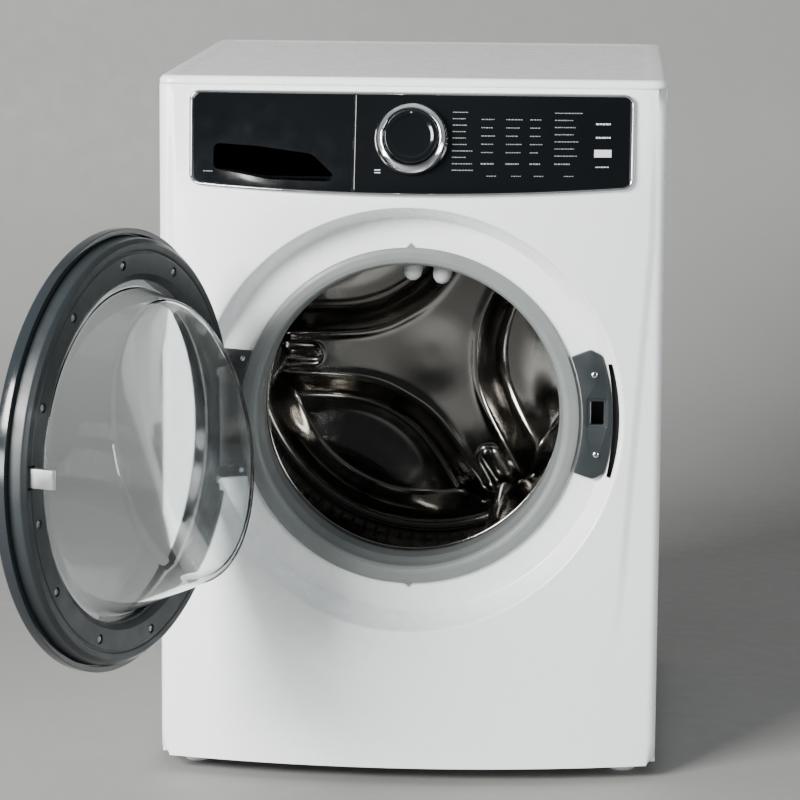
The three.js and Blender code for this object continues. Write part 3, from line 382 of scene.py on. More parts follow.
def look(name, colour, rough, metal=0.0, spread=0.05, grain=900.0, depth=2e-5, patch=0.93,
         wear=1.12, stretch=(1, 1, 1), ripple=0.0, **sockets):
    """A surface with uneven colour and roughness, a fine grain and slightly worn edges."""
    graph = Graph(name)
    broad = graph.ranged(graph.noise(7, 4), 0.35, 0.65, 0, 1)
    base = graph.mixed(broad, colour, shade(colour, patch))
    worn = graph.add("ShaderNodeNewGeometry").outputs["Pointiness"]
    edges = graph.ranged(worn, 0.53, 0.6, 0, 0.5)
    graph.link(graph.mixed(edges, base, shade(colour, wear)), graph.shader.inputs["Base Color"])
    uneven = graph.noise(38, 5, stretch)
    graph.link(graph.ranged(uneven, 0.3, 0.7, max(0.02, rough - spread), rough + spread),
               graph.shader.inputs["Roughness"])
    normal = graph.bump(graph.noise(grain, 2, stretch), depth)
    if ripple:
        normal = graph.bump(graph.noise(9, 1), ripple, after=normal)
    graph.link(normal, graph.shader.inputs["Normal"])
    graph.set(Metallic=metal, **sockets)
    return graph.material


def see_through(name, colour, rough, clarity, spread=0.02, **sockets):
    """Clear or smoked glazing with faint smears."""
    graph = Graph(name)
    smear = graph.noise(14, 5)
    graph.link(graph.mixed(graph.ranged(smear, 0.3, 0.7, 0, 1), colour, shade(colour, 0.97)),
               graph.shader.inputs["Base Color"])
    graph.link(graph.ranged(smear, 0.35, 0.75, rough, rough + spread), graph.shader.inputs["Roughness"])
    graph.link(graph.bump(graph.noise(60, 2), 1e-5), graph.shader.inputs["Normal"])
    graph.set(Transmission_Weight=clarity, **sockets)
    return graph.material


LOOKS = {
    "white_paint": look("white_paint", (0.86, 0.885, 0.89), 0.26, spread=0.05, grain=1400, depth=6e-6,
                        patch=0.985, wear=1.04, Coat_Weight=0.5, Coat_Roughness=0.12),
    "zinc_sheet": look("zinc_sheet", (0.42, 0.43, 0.44), 0.42, 0.9, spread=0.12, grain=260,
                       depth=1e-5, patch=0.8),
    "black_gloss": look("black_gloss", (0.004, 0.005, 0.006), 0.09, spread=0.03, grain=700,
                        depth=2e-6, ripple=3e-4, wear=2.0),
    "dark_steel": look("dark_steel", (0.07, 0.075, 0.08), 0.42, 0.8, spread=0.1, grain=300,
                       depth=1e-5, patch=0.8, wear=1.6),
    "bright_trim": look("bright_trim", (0.78, 0.79, 0.81), 0.12, 1.0, spread=0.05, grain=500,
                        depth=4e-6),
    "stainless": look("stainless", (0.46, 0.445, 0.425), 0.24, 1.0, spread=0.07, grain=420,
                      depth=1.2e-5, patch=0.9, Anisotropic=0.35),
    "drum_steel": look("drum_steel", (0.40, 0.39, 0.37), 0.13, 1.0, spread=0.04, grain=500,
                       depth=4e-6, patch=0.94, Anisotropic=0.2),
    "steel": look("steel", (0.50, 0.51, 0.52), 0.30, 1.0, spread=0.1, grain=600, depth=1e-5),
    "casting": look("casting", (0.40, 0.41, 0.42), 0.55, 0.9, spread=0.1, grain=350, depth=8e-5),
    "slate_plastic": look("slate_plastic", (0.014, 0.019, 0.0215), 0.42, spread=0.08, grain=1100,
                          depth=2.5e-5, wear=1.8),
    "slate_gloss": look("slate_gloss", (0.012, 0.016, 0.019), 0.14, spread=0.04, grain=700,
                        depth=4e-6, wear=1.6),
    "grey_rubber": look("grey_rubber", (0.175, 0.192, 0.190), 0.42, spread=0.1, grain=800,
                        depth=3e-5, patch=0.88, wear=1.2),
    "black_rubber": look("black_rubber", (0.014, 0.014, 0.015), 0.7, grain=700, depth=4e-5, wear=2.0),
    "black_plastic": look("black_plastic", (0.012, 0.012, 0.013), 0.5, grain=900, depth=3e-5, wear=2.0),
    "pale_plastic": look("pale_plastic", (0.62, 0.64, 0.64), 0.42, grain=900, depth=2e-5),
    "tub_plastic": look("tub_plastic", (0.30, 0.32, 0.33), 0.55, spread=0.1, grain=500, depth=5e-5),
    "concrete": look("concrete", (0.30, 0.29, 0.27), 0.9, grain=160, depth=6e-4, patch=0.75),
    "clear_glass": see_through("clear_glass", (0.93, 0.955, 0.955), 0.03, 1.0, IOR=1.46),
    "smoked_window": see_through("smoked_window", (0.80, 0.83, 0.84), 0.03, 1.0, IOR=1.3),
    "board": look("board", (0.02, 0.09, 0.05), 0.5, grain=500, depth=3e-5, patch=0.7),
    "printed_marks": look("printed_marks", (0.22, 0.235, 0.245), 0.5, grain=900, depth=2e-6),
    "printed_icons": look("printed_icons", (0.60, 0.63, 0.65), 0.5, grain=900, depth=2e-6),
}


# ---- the curved front ----

def smooth_max(a, b, width):
    """The larger of two values, with the change from one to the other spread over a width."""
    h = max(width - abs(a - b), 0) / width
    return max(a, b) + h * h * width / 4


def smooth_min(a, b, width):
    return -smooth_max(-a, -b, width)


def ramp(value, low, high):
    t = min(1.0, max(0.0, (value - low) / (high - low)))
    return t * t * (3 - 2 * t)


def bulge_at(z):
    rise = (TOP_SEAM - z) / (TOP_SEAM - CONSOLE_LOW)
    return BULGE * smooth_min(rise, 1.0, 0.12)


def front_y(x, z):
    return -bulge_at(z) * (1 - (x / FRONT_HALF) ** 2)


def beyond_shield(x, z):
    """How far a point of the front lies outside the shield-shaped crease."""
    side = abs(x) - (0.323 - 0.07 * max(0.0, 0.750 - z))
    below = 0.128 + 0.3 * x * x - z
    return smooth_max(side, below, 0.084)


def panel_y(x, z):
    """The front panel with its recess around the opening and its crease."""
    r = math.hypot(x, z - AXIS_Z)
    crease = 0.003 * ramp(z, 0.14, 0.36)
    face = front_y(x, z) + crease * ramp(beyond_shield(x, z), -0.004, 0.010)
    if r > RIM_R + 0.03:
        return face
    c = x / r
    rim = -BULGE * (1 - (RIM_R * c / FRONT_HALF) ** 2)
    wall = FLOOR_Y + (rim - FLOOR_Y) * (r - FLOOR_R) / (RIM_R - FLOOR_R)
    return smooth_max(smooth_min(FLOOR_Y, wall, 0.003), face, 0.003)


def panel_turns(steps=288):
    sides, ends = (-FRONT_HALF, FRONT_HALF), (PANEL_BOTTOM, TOP_SEAM)
    corners = [math.atan2(z - AXIS_Z, x) for x in sides for z in ends]
    turns = [2 * math.pi * k / steps - math.pi for k in range(steps)]
    return sorted(turns + corners)


def panel_row(turn, inset):
    """Points of the front panel from the edge of the hole out to its own edge, along one ray."""
    c, s = math.cos(turn), math.sin(turn)
    limit = PANEL_BOTTOM if s < 0 else TOP_SEAM
    to_end = (limit - AXIS_Z) / s if abs(s) > 1e-9 else 1e9
    to_side = FRONT_HALF / abs(c) if abs(c) > 1e-9 else 1e9
    reach = min(to_end, to_side)
    radii = [HOLE_R + 0.0004, HOLE_R + 0.0015, 0.228, 0.236, 0.246, 0.256, 0.262]
    radii += [0.262 + 0.0013 * k for k in range(1, 28)]
    outer = 72
    start = radii[-1]
    radii += [start + (reach - start) * k / outer for k in range(1, outer + 1)]
    lip_x, lip_z = HOLE_R * c, AXIS_Z + HOLE_R * s
    row = [(lip_x, FLOOR_Y + 0.0018, lip_z), (lip_x, FLOOR_Y + 0.0006, lip_z)]
    row += [(r * c, panel_y(r * c, AXIS_Z + r * s) + inset, AXIS_Z + r * s) for r in radii]
    x, y, z = row[-1]
    steps, curved = 10, 0.8  # the part of the way around the corner that is curved
    lean, curve_depth = 0.25, 0.0155
    for k in range(1, steps + 1):
        t = k / steps
        if to_side < to_end:
            turn_k = lean + (math.pi / 2 - lean) * min(1.0, t / curved)
            across = (math.sin(turn_k) - math.sin(lean)) / (1 - math.sin(lean))
            along = (math.cos(lean) - math.cos(turn_k)) / math.cos(lean)
            deep = curve_depth * along + (SIDE_FRONT - curve_depth) * max(0.0, (t - curved) / (1 - curved))
            row.append((math.copysign(abs(x) + (CORNER - inset) * across, x), y + deep, z))
        else:
            row.append((x, y + 0.020 * t, z))
    return row


def make_front_panel():
    turns = panel_turns()
    outer = [panel_row(turn, 0) for turn in turns]
    inner = [panel_row(turn, SHEET) for turn in turns]
    rows = [front + back[::-1] for front, back in zip(outer, inner)]
    obj = raw("front_panel_skin", lattice(rows, close_rows=True, close_columns=True))
    slot = block((LATCH_X - 0.010, LATCH_X + 0.009), (0, 0.02), (LATCH_Z - 0.017, LATCH_Z + 0.017))
    drawer = prism(round_box(-0.285, -0.087, 0.827, 0.931, 0.004), -0.08, 0.03)
    shaft = turned([(0, -0.06), (0.006, -0.06), (0.006, 0.03), (0, 0.03)], 24,
                   at((KNOB_X, 0, KNOB_Z - 0.002)))
    carved(obj, slot, drawer, shaft, finger_slot())
    dress(obj, "white_paint", "cabinet", ["front_panel"], angle=50)


def finger_slot():
    """The thin crescent that leaves room for fingers behind the door's free edge."""
    outer = arc(0.286, -16, 16, 24)
    inner = arc(0.386, 11.6, -11.6, 24, centre=(0.277 - 0.386, AXIS_Z))
    return prism(outer + inner, -0.04, 0.014)


# ---- cabinet ----

def make_top_panel():
    """A shallow tray upside down with a soft rim and a slightly sunken middle."""
    low, high, edge = TOP_SEAM + 0.0003, HEIGHT, 0.0085
    x0, x1, y0, y1 = -WIDTH / 2, WIDTH / 2, -0.0015, DEPTH + 0.0005

    def loop(inset, z):
        outline = round_box(x0 + inset, x1 - inset, y0 + inset, y1 - inset, 0.024 - inset / 2)
        return [(x, y, z) for x, y in outline]

    levels = [(0.004, low + 0.001), (0.004, low), (0.0012, low), (0.0002, low + 0.0012), (0, low + 0.003)]
    for k in range(7):
        turn = math.pi / 2 * k / 6
        levels.append((edge * (1 - math.cos(turn)), high - edge + edge * math.sin(turn)))
    levels += [(0.022, high), (0.026, high - 0.0007), (0.030, high - 0.0011), (0.034, high - 0.0012)]
    points, faces = lattice([loop(inset, z) for inset, z in levels], close_columns=True)
    count = len(points) // len(levels)
    faces.append(tuple(range(len(points) - count, len(points))))
    piece("top_panel_skin", (points, faces), "white_paint", "cabinet", ["top_panel"])


def make_side_panel(side, name):
    outer, inner = WIDTH / 2, WIDTH / 2 - SHEET
    front, back = SIDE_FRONT + 0.0003, DEPTH - SHEET - 0.0003
    section = rounded([
        (outer, front, 0.0015), (outer, back, 0.0015), (outer - 0.016, back),
        (outer - 0.016, back - SHEET), (inner, back - SHEET), (inner, front + SHEET),
        (outer - 0.020, front + SHEET), (outer - 0.020, front),
    ])
    obj = raw(name + "_skin", upright([(side * x, y) for x, y in section], PANEL_BOTTOM, TOP_SEAM))
    across = Matrix.Rotation(math.pi / 2, 4, "Z")
    holes = [
        turned([(0, -0.01), (0.005, -0.01), (0.005, 0.01), (0, 0.01)], 20,
               at((side * outer, y, z)) @ across)
        for y in (0.075, DEPTH - 0.075) for z in (0.060, 0.085)
    ]
    carved(obj, *holes)
    dress(obj, "white_paint", "cabinet", [name])


SCREW = [(0, 0.0024), (0.0022, 0.0023), (0.0038, 0.0017, 0.0008), (0.0046, 0.0003, 0.0004),
         (0.0046, -0.001), (0, -0.001)]


def screw_head():
    """A pan head with a cross in it, facing along +Y."""
    head = raw("screw", turned(SCREW, 20))
    slots = [
        moved(block((-0.0026, 0.0026), (0.0012, 0.004), (-0.0005, 0.0005)), Matrix.Rotation(turn, 4, "Y"))
        for turn in (0.4, 0.4 + math.pi / 2)
    ]
    carved(head, *slots)
    mesh = head.data
    part = [vertex.co.copy() for vertex in mesh.vertices], [tuple(face.vertices) for face in mesh.polygons]
    bpy.data.objects.remove(head)
    return part


SCREW_PART = screw_head()


def screws(places, facing=1, scale=1.0):
    """Screw heads at points of (x, y, z), facing to the back, or to the front if facing is -1."""
    parts = []
    for i, place in enumerate(places):
        turn = Matrix.Rotation(0.0 if facing > 0 else math.pi, 4, "Z") @ Matrix.Rotation(i * 1.1, 4, "Y")
        parts.append(moved(SCREW_PART, Matrix.Translation(place) @ turn @ Matrix.Scale(scale, 4)))
    return merged(*parts)


def pressed_rows(half_width, low, high, y, height, steps_x=120, steps_z=160):
    """A sheet with pressed beads, as rows of points."""
    levels = [low + (high - low) * i / steps_z for i in range(steps_z + 1)]
    places = [-half_width + 2 * half_width * j / steps_x for j in range(steps_x + 1)]
    return [[(x, y + height(x, z), z) for x in places] for z in levels]


def make_rear_panel():
    """A zinc sheet with long upright beads, a round-cornered opening, vents and holes for the ports."""
    half, low, high = WIDTH / 2 - 0.001, PANEL_BOTTOM + 0.004, TOP_SEAM - 0.0003

    def bead(x, z):
        ends = ramp(z, 0.07, 0.10) * (1 - ramp(z, 0.70, 0.73))
        near = max(ramp(0.006 - abs(abs(x) - at), -0.006, 0.003) for at in (0.232, 0.262, 0.292))
        return -0.0016 * near * ends

    front = pressed_rows(half, low, high, DEPTH - SHEET, bead)
    back = pressed_rows(half, low, high, DEPTH, bead)
    rows = [a + b[::-1] for a, b in zip(back, front)]
    points, faces = lattice(rows, close_columns=True)
    count = len(rows[0])
    faces.append(tuple(range(count))[::-1])
    faces.append(tuple(range(len(points) - count, len(points))))
    obj = raw("rear_panel_skin", (points, faces))
    through = (DEPTH - 0.01, DEPTH + 0.01)
    cutters = [prism(round_box(-0.160, 0.160, AXIS_Z - 0.180, AXIS_Z + 0.160, 0.05), *through)]
    for x, z, radius in ((-0.255, 0.900, 0.016), (-0.195, 0.900, 0.016), (0.272, 0.820, 0.015)):
        cutters.append(prism(circle(x, z, radius), *through))
    cutters.append(block((0.170, 0.210), through, (0.890, 0.920)))
    for k in range(6):
        x = -0.03 + 0.016 * k
        cutters.append(prism(round_box(x, x + 0.006, 0.80, 0.85, 0.003, 4), *through))
    carved(obj, *cutters)
    dress(obj, "zinc_sheet", "cabinet", ["rear_panel"], angle=30)
    under_head = DEPTH + 0.0003
    edge = [(x, under_head, z) for x in (-0.33, 0.33) for z in (0.06, 0.30, 0.62, 0.93)]
    edge += [(x, under_head, z) for x in (-0.12, 0.12) for z in (0.05, 0.935)]
    edge += [(x, under_head, 0.900) for x in (-0.285, -0.225, -0.165)]
    piece("rear_panel_screws", screws(edge), "steel", "cabinet")


def make_access_cover():
    """A shallow dome with a flange, pressed ribs and a screw in each corner."""
    levels = [(-0.020, 0.0003), (-0.020, 0.0012), (-0.019, 0.0015), (-0.002, 0.0015), (0.0005, 0.003),
              (0.003, 0.009), (0.0055, 0.0115), (0.009, 0.012), (0.04, 0.012), (0.044, 0.0095),
              (0.052, 0.0095), (0.056, 0.012), (0.085, 0.012)]
    rows = []
    for inset, rise in levels:
        outline = round_box(-0.166 + inset, 0.166 - inset, AXIS_Z - 0.186 + inset, AXIS_Z + 0.166 - inset,
                            max(0.012, 0.056 - inset), 10)
        rows.append([(x, DEPTH + rise, z) for x, z in outline])
    points, faces = lattice(rows, close_columns=True)
    count = len(rows[0])
    faces.append(tuple(range(len(points) - count, len(points))))
    faces.append(tuple(range(count))[::-1])
    piece("access_cover_skin", (points, faces), "zinc_sheet", "cabinet",
          ["rear_access_cover"])
    corners = [(x, DEPTH + 0.0018, z) for x in (-0.152, 0.152) for z in (AXIS_Z - 0.172, AXIS_Z + 0.152)]
    corners += [(0, DEPTH + 0.0018, AXIS_Z - 0.196), (0, DEPTH + 0.0018, AXIS_Z + 0.176)]
    piece("access_cover_screws", screws(corners), "steel", "cabinet")


def make_feet():
    """A pale pad, a nut and a threaded stem under each corner."""
    inset, x_place = 0.062, 0.297
    outline = [(0, 0), (0.0165, 0), (0.0185, 0.0012, 0.001), (0.020, 0.004, 0.002), (0.020, 0.0095, 0.0015),
               (0.0165, 0.0118, 0.001), (0.0150, 0.013), (0.0095, 0.013), (0.0095, 0.014)]
    outline += [(0.0095, 0.0196), (0.0086, 0.020), (0.0062, 0.020)]
    for k in range(17):
        z = 0.0212 + 0.002 * k
        outline += [(0.0060, z), (0.0053, z + 0.001)]
    outline += [(0.0050, 0.0555), (0, 0.056)]
    for name, x, y in (("front_left", -x_place, inset), ("front_right", x_place, inset),
                       ("rear_left", -x_place, DEPTH - inset), ("rear_right", x_place, DEPTH - inset)):
        part = turned(outline, 36, at((x, y, 0)) @ UPRIGHT)
        piece(f"foot_{name}_turned", part, "pale_plastic", f"foot_{name}",
              [f"foot_{name}"], angle=30)


# ---- console ----

def console_y(x, z, out):
    return front_y(x, z) - out


def console_point(u, v, x0, x1, round_left, round_right, inset, out):
    """A point of the console's face. u and v run from 0 to 1 across it, and inset draws the outline in."""

    def low(x):
        return CONSOLE_LOW + CONSOLE_SAG * (x / CONSOLE_HALF) ** 2 + inset

    top = CONSOLE_TOP - inset
    middle = (x0 + x1) / 2
    height = top - low(middle)
    from_edge = min(v, 1 - v) * height

    def drawn_in(radius):
        radius = max(radius - inset, 0.0002)
        short = max(radius - from_edge, 0)
        return radius - math.sqrt(max(radius ** 2 - short ** 2, 0))

    left = x0 + inset + drawn_in(round_left)
    right = x1 - inset - drawn_in(round_right)
    x = left + (right - left) * u
    z = low(x) + (top - low(x)) * v
    return x, console_y(x, z, out), z


def eased_steps(count):
    """Numbers from 0 to 1, closer together near both ends."""
    return [0.5 - 0.5 * math.cos(math.pi * k / count) for k in range(count + 1)]


def border_of(across, up):
    """The steps along the four sides of a square, in turn."""
    border = [(u, 0.0) for u in across] + [(1.0, v) for v in up[1:]]
    return border + [(u, 1.0) for u in across[-2::-1]] + [(0.0, v) for v in up[-2:0:-1]]


def console_part(x0, x1, round_left, round_right):
    """A slab of the console with soft edges, following the curved front."""
    thick, margin, soft, foot = CONSOLE_THICK, 0.0002, 0.0012, 0.0004
    across, up = eased_steps(64), eased_steps(28)

    def place(u, v, inset, out):
        return console_point(u, v, x0, x1, round_left, round_right, inset + margin, out)

    face = [[place(u, v, soft, thick) for u in across] for v in up]
    points, faces = lattice(face)
    border = border_of(across, up)
    rims = []
    for k in range(5):
        turn = math.pi / 2 * k / 4
        rims.append((soft * (1 - math.sin(turn)), thick - soft * (1 - math.cos(turn))))
    rims.append((0, foot))
    rows = [[place(u, v, inset, out) for u, v in border] for inset, out in rims]
    back = [[place(u, v, soft, foot) for u in across] for v in up]
    return merged((points, faces), lattice(rows, close_columns=True), lattice(back))


def on_console(x=KNOB_X, z=KNOB_Z):
    """Places a piece whose axis is Y and whose zero is the console's face at a point."""
    y = front_y(x, z) - CONSOLE_THICK / math.cos(TILT)
    return at((x, y, z)) @ Matrix.Rotation(-TILT, 4, "X")


def make_console():
    obj = raw("console_panel_face", console_part(SEAM_X, CONSOLE_HALF - 0.0008, 0.001, CONSOLE_ROUND))
    carved(obj, turned([(0, -0.02), (0.0042, -0.02), (0.0042, 0.03), (0, 0.03)], 24, on_console()))
    dress(obj, "black_gloss", "cabinet", ["console_panel"])


def make_trim():
    """A bright frame around the console, wider along its lower edge."""
    across, up = eased_steps(96), eased_steps(40)
    border = border_of(across, up)
    section = rounded([
        (0.0, 0.0004), (0.0, CONSOLE_THICK + 0.0003, 0.0006), (-0.0012, CONSOLE_THICK + 0.0010, 0.0008),
        (-TRIM + 0.0006, CONSOLE_THICK - 0.0006, 0.0012), (-TRIM, 0.0004),
    ], closed=False)
    ends = (-CONSOLE_HALF, CONSOLE_HALF, CONSOLE_ROUND, CONSOLE_ROUND)
    rows = [[console_point(u, v, *ends, inset, out) for u, v in border] for inset, out in section]
    piece("console_trim_bright", lattice(rows, close_rows=True, close_columns=True), "bright_trim",
          "cabinet", ["console_trim"])


def mark(x, z, width, height):
    """A small raised bar on the console's face."""
    lift = CONSOLE_THICK + 0.00015
    steps = max(1, int(width / 0.004))
    rows = []
    for level in (z - height / 2, z + height / 2):
        places = [x + width * k / steps for k in range(steps + 1)]
        rows.append([(place, console_y(place, level, lift), level) for place in places])
    return lattice(rows)


def mark_line(rng, x, z, length, height=0.0011):
    """A row of short bars of uneven length, like a line of tiny print."""
    parts = []
    end = x + length
    while x < end:
        width = rng.uniform(0.0012, 0.0038)
        parts.append(mark(x, z, min(width, end - x + 0.0006), height))
        x += width + 0.0009
    return merged(*parts)


def make_marks():
    """Plain broken bars where the panel has its printed choices."""
    rng = random.Random(7)
    parts = [mark_line(rng, 0.0565, 0.921 - 0.0084 * k, rng.uniform(0.016, 0.029)) for k in range(10)]
    for x, width in ((0.095, 0.022), (0.128, 0.024), (0.160, 0.018)):
        parts += [mark_line(rng, x, 0.912 - 0.0108 * k, width * rng.uniform(0.6, 1.0)) for k in range(5)]
        parts.append(mark_line(rng, x, 0.854, width * 0.75, 0.0017))
    parts += [mark_line(rng, 0.193, 0.921 - 0.0094 * k, rng.uniform(0.022, 0.038)) for k in range(7)]
    parts.append(mark_line(rng, 0.193, 0.854, 0.020, 0.0017))
    parts += [mark_line(rng, x, 0.838, 0.012, 0.0010) for x in (0.103, 0.136, 0.166, 0.206, -0.280)]
    piece("console_marks", merged(*parts), "printed_marks", "cabinet", slot="pale_plastic")
    icons = [mark_line(rng, 0.248, z, 0.019, 0.0021) for z in (0.907, 0.889)]
    icons += [mark(0.246, 0.868, 0.023, 0.010), mark_line(rng, 0.248, 0.850, 0.017, 0.0013)]
    icons += [mark(-0.047, 0.841, 0.008, 0.0011), mark(-0.047, 0.8445, 0.008, 0.0011)]
    piece("console_icons", merged(*icons), "printed_icons", "cabinet", slot="pale_plastic")


def make_drawer():
    """The drawer's face with the scoop for fingers, and the tray behind it."""
    slab = console_part(-CONSOLE_HALF + 0.0008, SEAM_X - 0.001, CONSOLE_ROUND, 0.001)
    face = raw("drawer_front_face", slab)
    body_front = console_y(-0.282, 0.928, -0.0005)
    body = raw("drawer_front_body", block((-0.282, -0.090), (body_front, 0.014), (0.830, 0.928)))
    outline = [(-0.266, 0.842, 0.007), (-0.190, 0.829, 0.03), (-0.106, 0.828, 0.008),
               (-0.103, 0.838, 0.006), (-0.132, 0.864, 0.018), (-0.205, 0.873, 0.05),
               (-0.266, 0.876, 0.010)]
    scoop = [tuple(point) for point in rounded(outline, steps=8)]
    for obj in (face, body):
        carved(obj, prism(scoop, -0.1, 0.008))
    lip = prism_wall(scoop, 0.0085)
    dress(face, "black_gloss", "drawer", ["drawer_front"], angle=40)
    dress(body, "black_plastic", "drawer")
    piece("drawer_scoop_lining", lip, "black_plastic", "drawer", angle=50)
    tray = raw("drawer_tray_moulded", prism(round_box(-0.280, -0.092, 0.833, 0.905, 0.006), 0.0143, 0.300))
    bays = [prism(round_box(x0, x1, 0.836, 0.930, 0.004), 0.020, 0.297)
            for x0, x1 in ((-0.277, -0.190), (-0.187, -0.143), (-0.140, -0.095))]
    carved(tray, *bays)
    eased(tray, 0.0007)
    dress(tray, "pale_plastic", "drawer", ["drawer_tray"])


def prism_wall(outline, y1):
    """The wall of the scoop, from the console's face back to its floor, and the floor itself."""
    front = [(x, console_y(x, z, CONSOLE_THICK - 0.0008), z) for x, z in outline]
    back = [(x, y1, z) for x, z in outline]
    points, faces = lattice([front, back], close_columns=True)
    faces.append(tuple(range(len(outline), 2 * len(outline))))
    return points, faces


def make_selector():
    ring_outline = [(0.030, -0.0004), (0.0488, -0.0004), (0.0490, -0.006, 0.002), (0.0475, -0.0105, 0.003),
                    (0.0448, -0.0152, 0.003), (0.0398, -0.0180, 0.002), (0.0374, -0.0166, 0.001),
                    (0.0370, -0.004), (0.030, -0.004)]
    path = rounded(ring_outline, steps=5)
    rows = []
    for k in range(128):
        turn = 2 * math.pi * k / 128
        rows.append([(r * math.cos(turn), y, r * math.sin(turn)) for r, y in path])
    part = moved(lattice(rows, close_rows=True, close_columns=True), on_console())
    piece("selector_ring_turned", part, "bright_trim", "selector", ["selector_ring"])
    cap = [(0, 0.016), (0.003, 0.016), (0.003, -0.0043), (0.0365, -0.0043), (0.0365, -0.0198, 0.0012),
           (0.0345, -0.0222, 0.001), (0.0300, -0.0224, 0.0008), (0.0270, -0.0214, 0.002),
           (0.012, -0.0209), (0, -0.0208)]
    part = turned(cap, 96, on_console(), steps_in_corner=5)
    piece("selector_cap_turned", part, "black_gloss", "selector", ["selector_cap"])
    pointer = turned([(0, -0.0012), (0.0012, -0.0010, 0.0004), (0.0014, 0.0004), (0, 0.0004)], 16,
                     on_console() @ at((0, -0.0215, 0.0322)))
    piece("selector_dot", pointer, "printed_marks", "selector", slot="pale_plastic")


# ---- door, laid out shut ----

def notch():
    return block((-0.320, -0.236), (DOOR_FRONT + 0.005, 0.020), (AXIS_Z - NOTCH_HALF, AXIS_Z + NOTCH_HALF))


def make_door_frames():
    outer = raw("door_outer_frame_turned", ring([
        (0.287, -0.031, 0.0008), (0.287, -0.046, 0.005), (0.279, DOOR_FRONT, 0.006),
        (0.240, DOOR_FRONT, 0.004), (0.232, -0.048, 0.001), (0.232, -0.0442), (0.225, -0.0442),
        (0.225, -0.0243), (0.231, -0.0243), (0.231, -0.038), (0.280, -0.038), (0.280, -0.031),
    ], 192))
    carved(outer, notch())
    dress(outer, "slate_gloss", "door", ["door_outer_frame"], door=True)
    inner = raw("door_inner_frame_turned", ring([
        (0.2317, -0.0377), (0.278, -0.0377), (0.2762, -0.026, 0.004), (0.275, -0.015, 0.005),
        (0.269, -0.010, 0.003), (0.2605, -0.010, 0.001), (0.2592, -0.0112, 0.0006),
        (0.2572, -0.0112, 0.0006), (0.2560, -0.010, 0.001), (0.230, -0.010, 0.003),
        (0.2215, -0.014, 0.002), (0.2215, -0.0197), (0.2317, -0.0197),
    ], 192))
    hook_slot = block((LATCH_X - 0.008, LATCH_X + 0.008), (-0.034, 0.005),
                      (LATCH_Z - 0.015, LATCH_Z + 0.015))
    wells = []
    for turn in DOOR_SCREWS:
        x, z = ring_place(0.2455, turn)
        wells.append(turned([(0, -0.013), (0.0062, -0.013), (0.0072, -0.005), (0, -0.005)], 24,
                            at((x, 0, z))))
    carved(inner, notch(), hook_slot, *wells)
    dress(inner, "slate_plastic", "door", ["door_inner_frame"], door=True)
    heads = [(*ring_place(0.2455, turn), -0.0128) for turn in DOOR_SCREWS]
    piece("door_screws", screws([(x, y, z) for x, z, y in heads]), "steel", "door", door=True)


DOOR_SCREWS = (-162, -132, -100, -68, -36, -12, 22, 52, 84, 116, 146, 163)


def ring_place(radius, degrees):
    turn = math.radians(degrees)
    return radius * math.cos(turn), AXIS_Z + radius * math.sin(turn)


def make_bowl():
    """A clear bowl with a flange, deeper at the bottom than at the top, with soft corners."""
    end_x, end_z, end_rise, end_y, slope, wall = 0.178, 0.178, 0.021, 0.066, 0.22, 0.004
    steps = 144

    def flat(turn, r, y):
        return Vector((r * math.cos(turn), y, AXIS_Z + r * math.sin(turn)))

    def end(turn, scale, back):
        dz = end_z * scale * math.sin(turn)
        swell = 0.005 * (1 - scale * scale)
        x, y = end_x * scale * math.cos(turn), end_y - slope * dz + swell - back
        return Vector((x, y, AXIS_Z + end_rise + dz))

    def side(turn, back):
        """The profile of one side from the flange to the middle of the end."""
        r = 0.212 - back
        start, corner = flat(turn, r, -0.020 - back * 0.2), end(turn, 1 - back / end_x, back)
        middle = end(turn, 0.0, back)
        soft = 0.055
        before, after = corner.lerp(start, soft), end(turn, (1 - back / end_x) * (1 - soft), back)
        points = [start.lerp(before, k / 14) for k in range(15)]
        for k in range(1, 8):
            t = k / 8
            points.append(before * (1 - t) ** 2 + corner * 2 * t * (1 - t) + after * t * t)
        scale = (1 - back / end_x) * (1 - soft)
        points += [end(turn, scale * (1 - k / 12), back) for k in range(12)]
        points.append(middle)
        return points

    outer, inner = [], []
    for k in range(steps):
        turn = 2 * math.pi * k / steps
        rim = [flat(turn, 0.2312, -0.0238), flat(turn, 0.2312, -0.0202), flat(turn, 0.2300, -0.0200),
               flat(turn, 0.2150, -0.0200), flat(turn, 0.2128, -0.0194)]
        outer.append(rim + side(turn, 0.0)[1:])
        inner.append([flat(turn, 0.2312, -0.0238), flat(turn, 0.2300, -0.0240)] + side(turn, wall))
    part = merged(lattice(outer, close_rows=True), lattice(inner, close_rows=True))
    piece("door_glass_bowl_moulded", part, "clear_glass", "door", ["door_glass_bowl"],
          angle=60, door=True)


def make_window():
    front = [(0.0, -0.058), (0.065, -0.0574), (0.130, -0.0555), (0.185, -0.0522),
             (0.2300, -0.0478), (0.2317, -0.0472, 0.0004)]
    back = [(0.2317, -0.0445), (0.185, -0.0492), (0.130, -0.0525), (0.065, -0.0544), (0.0, -0.055)]
    part = moved(turned(front + back, 144), at((0, 0, AXIS_Z)))
    piece("door_outer_window_pane", part, "smoked_window", "door",
          ["door_outer_window"], angle=60, door=True)


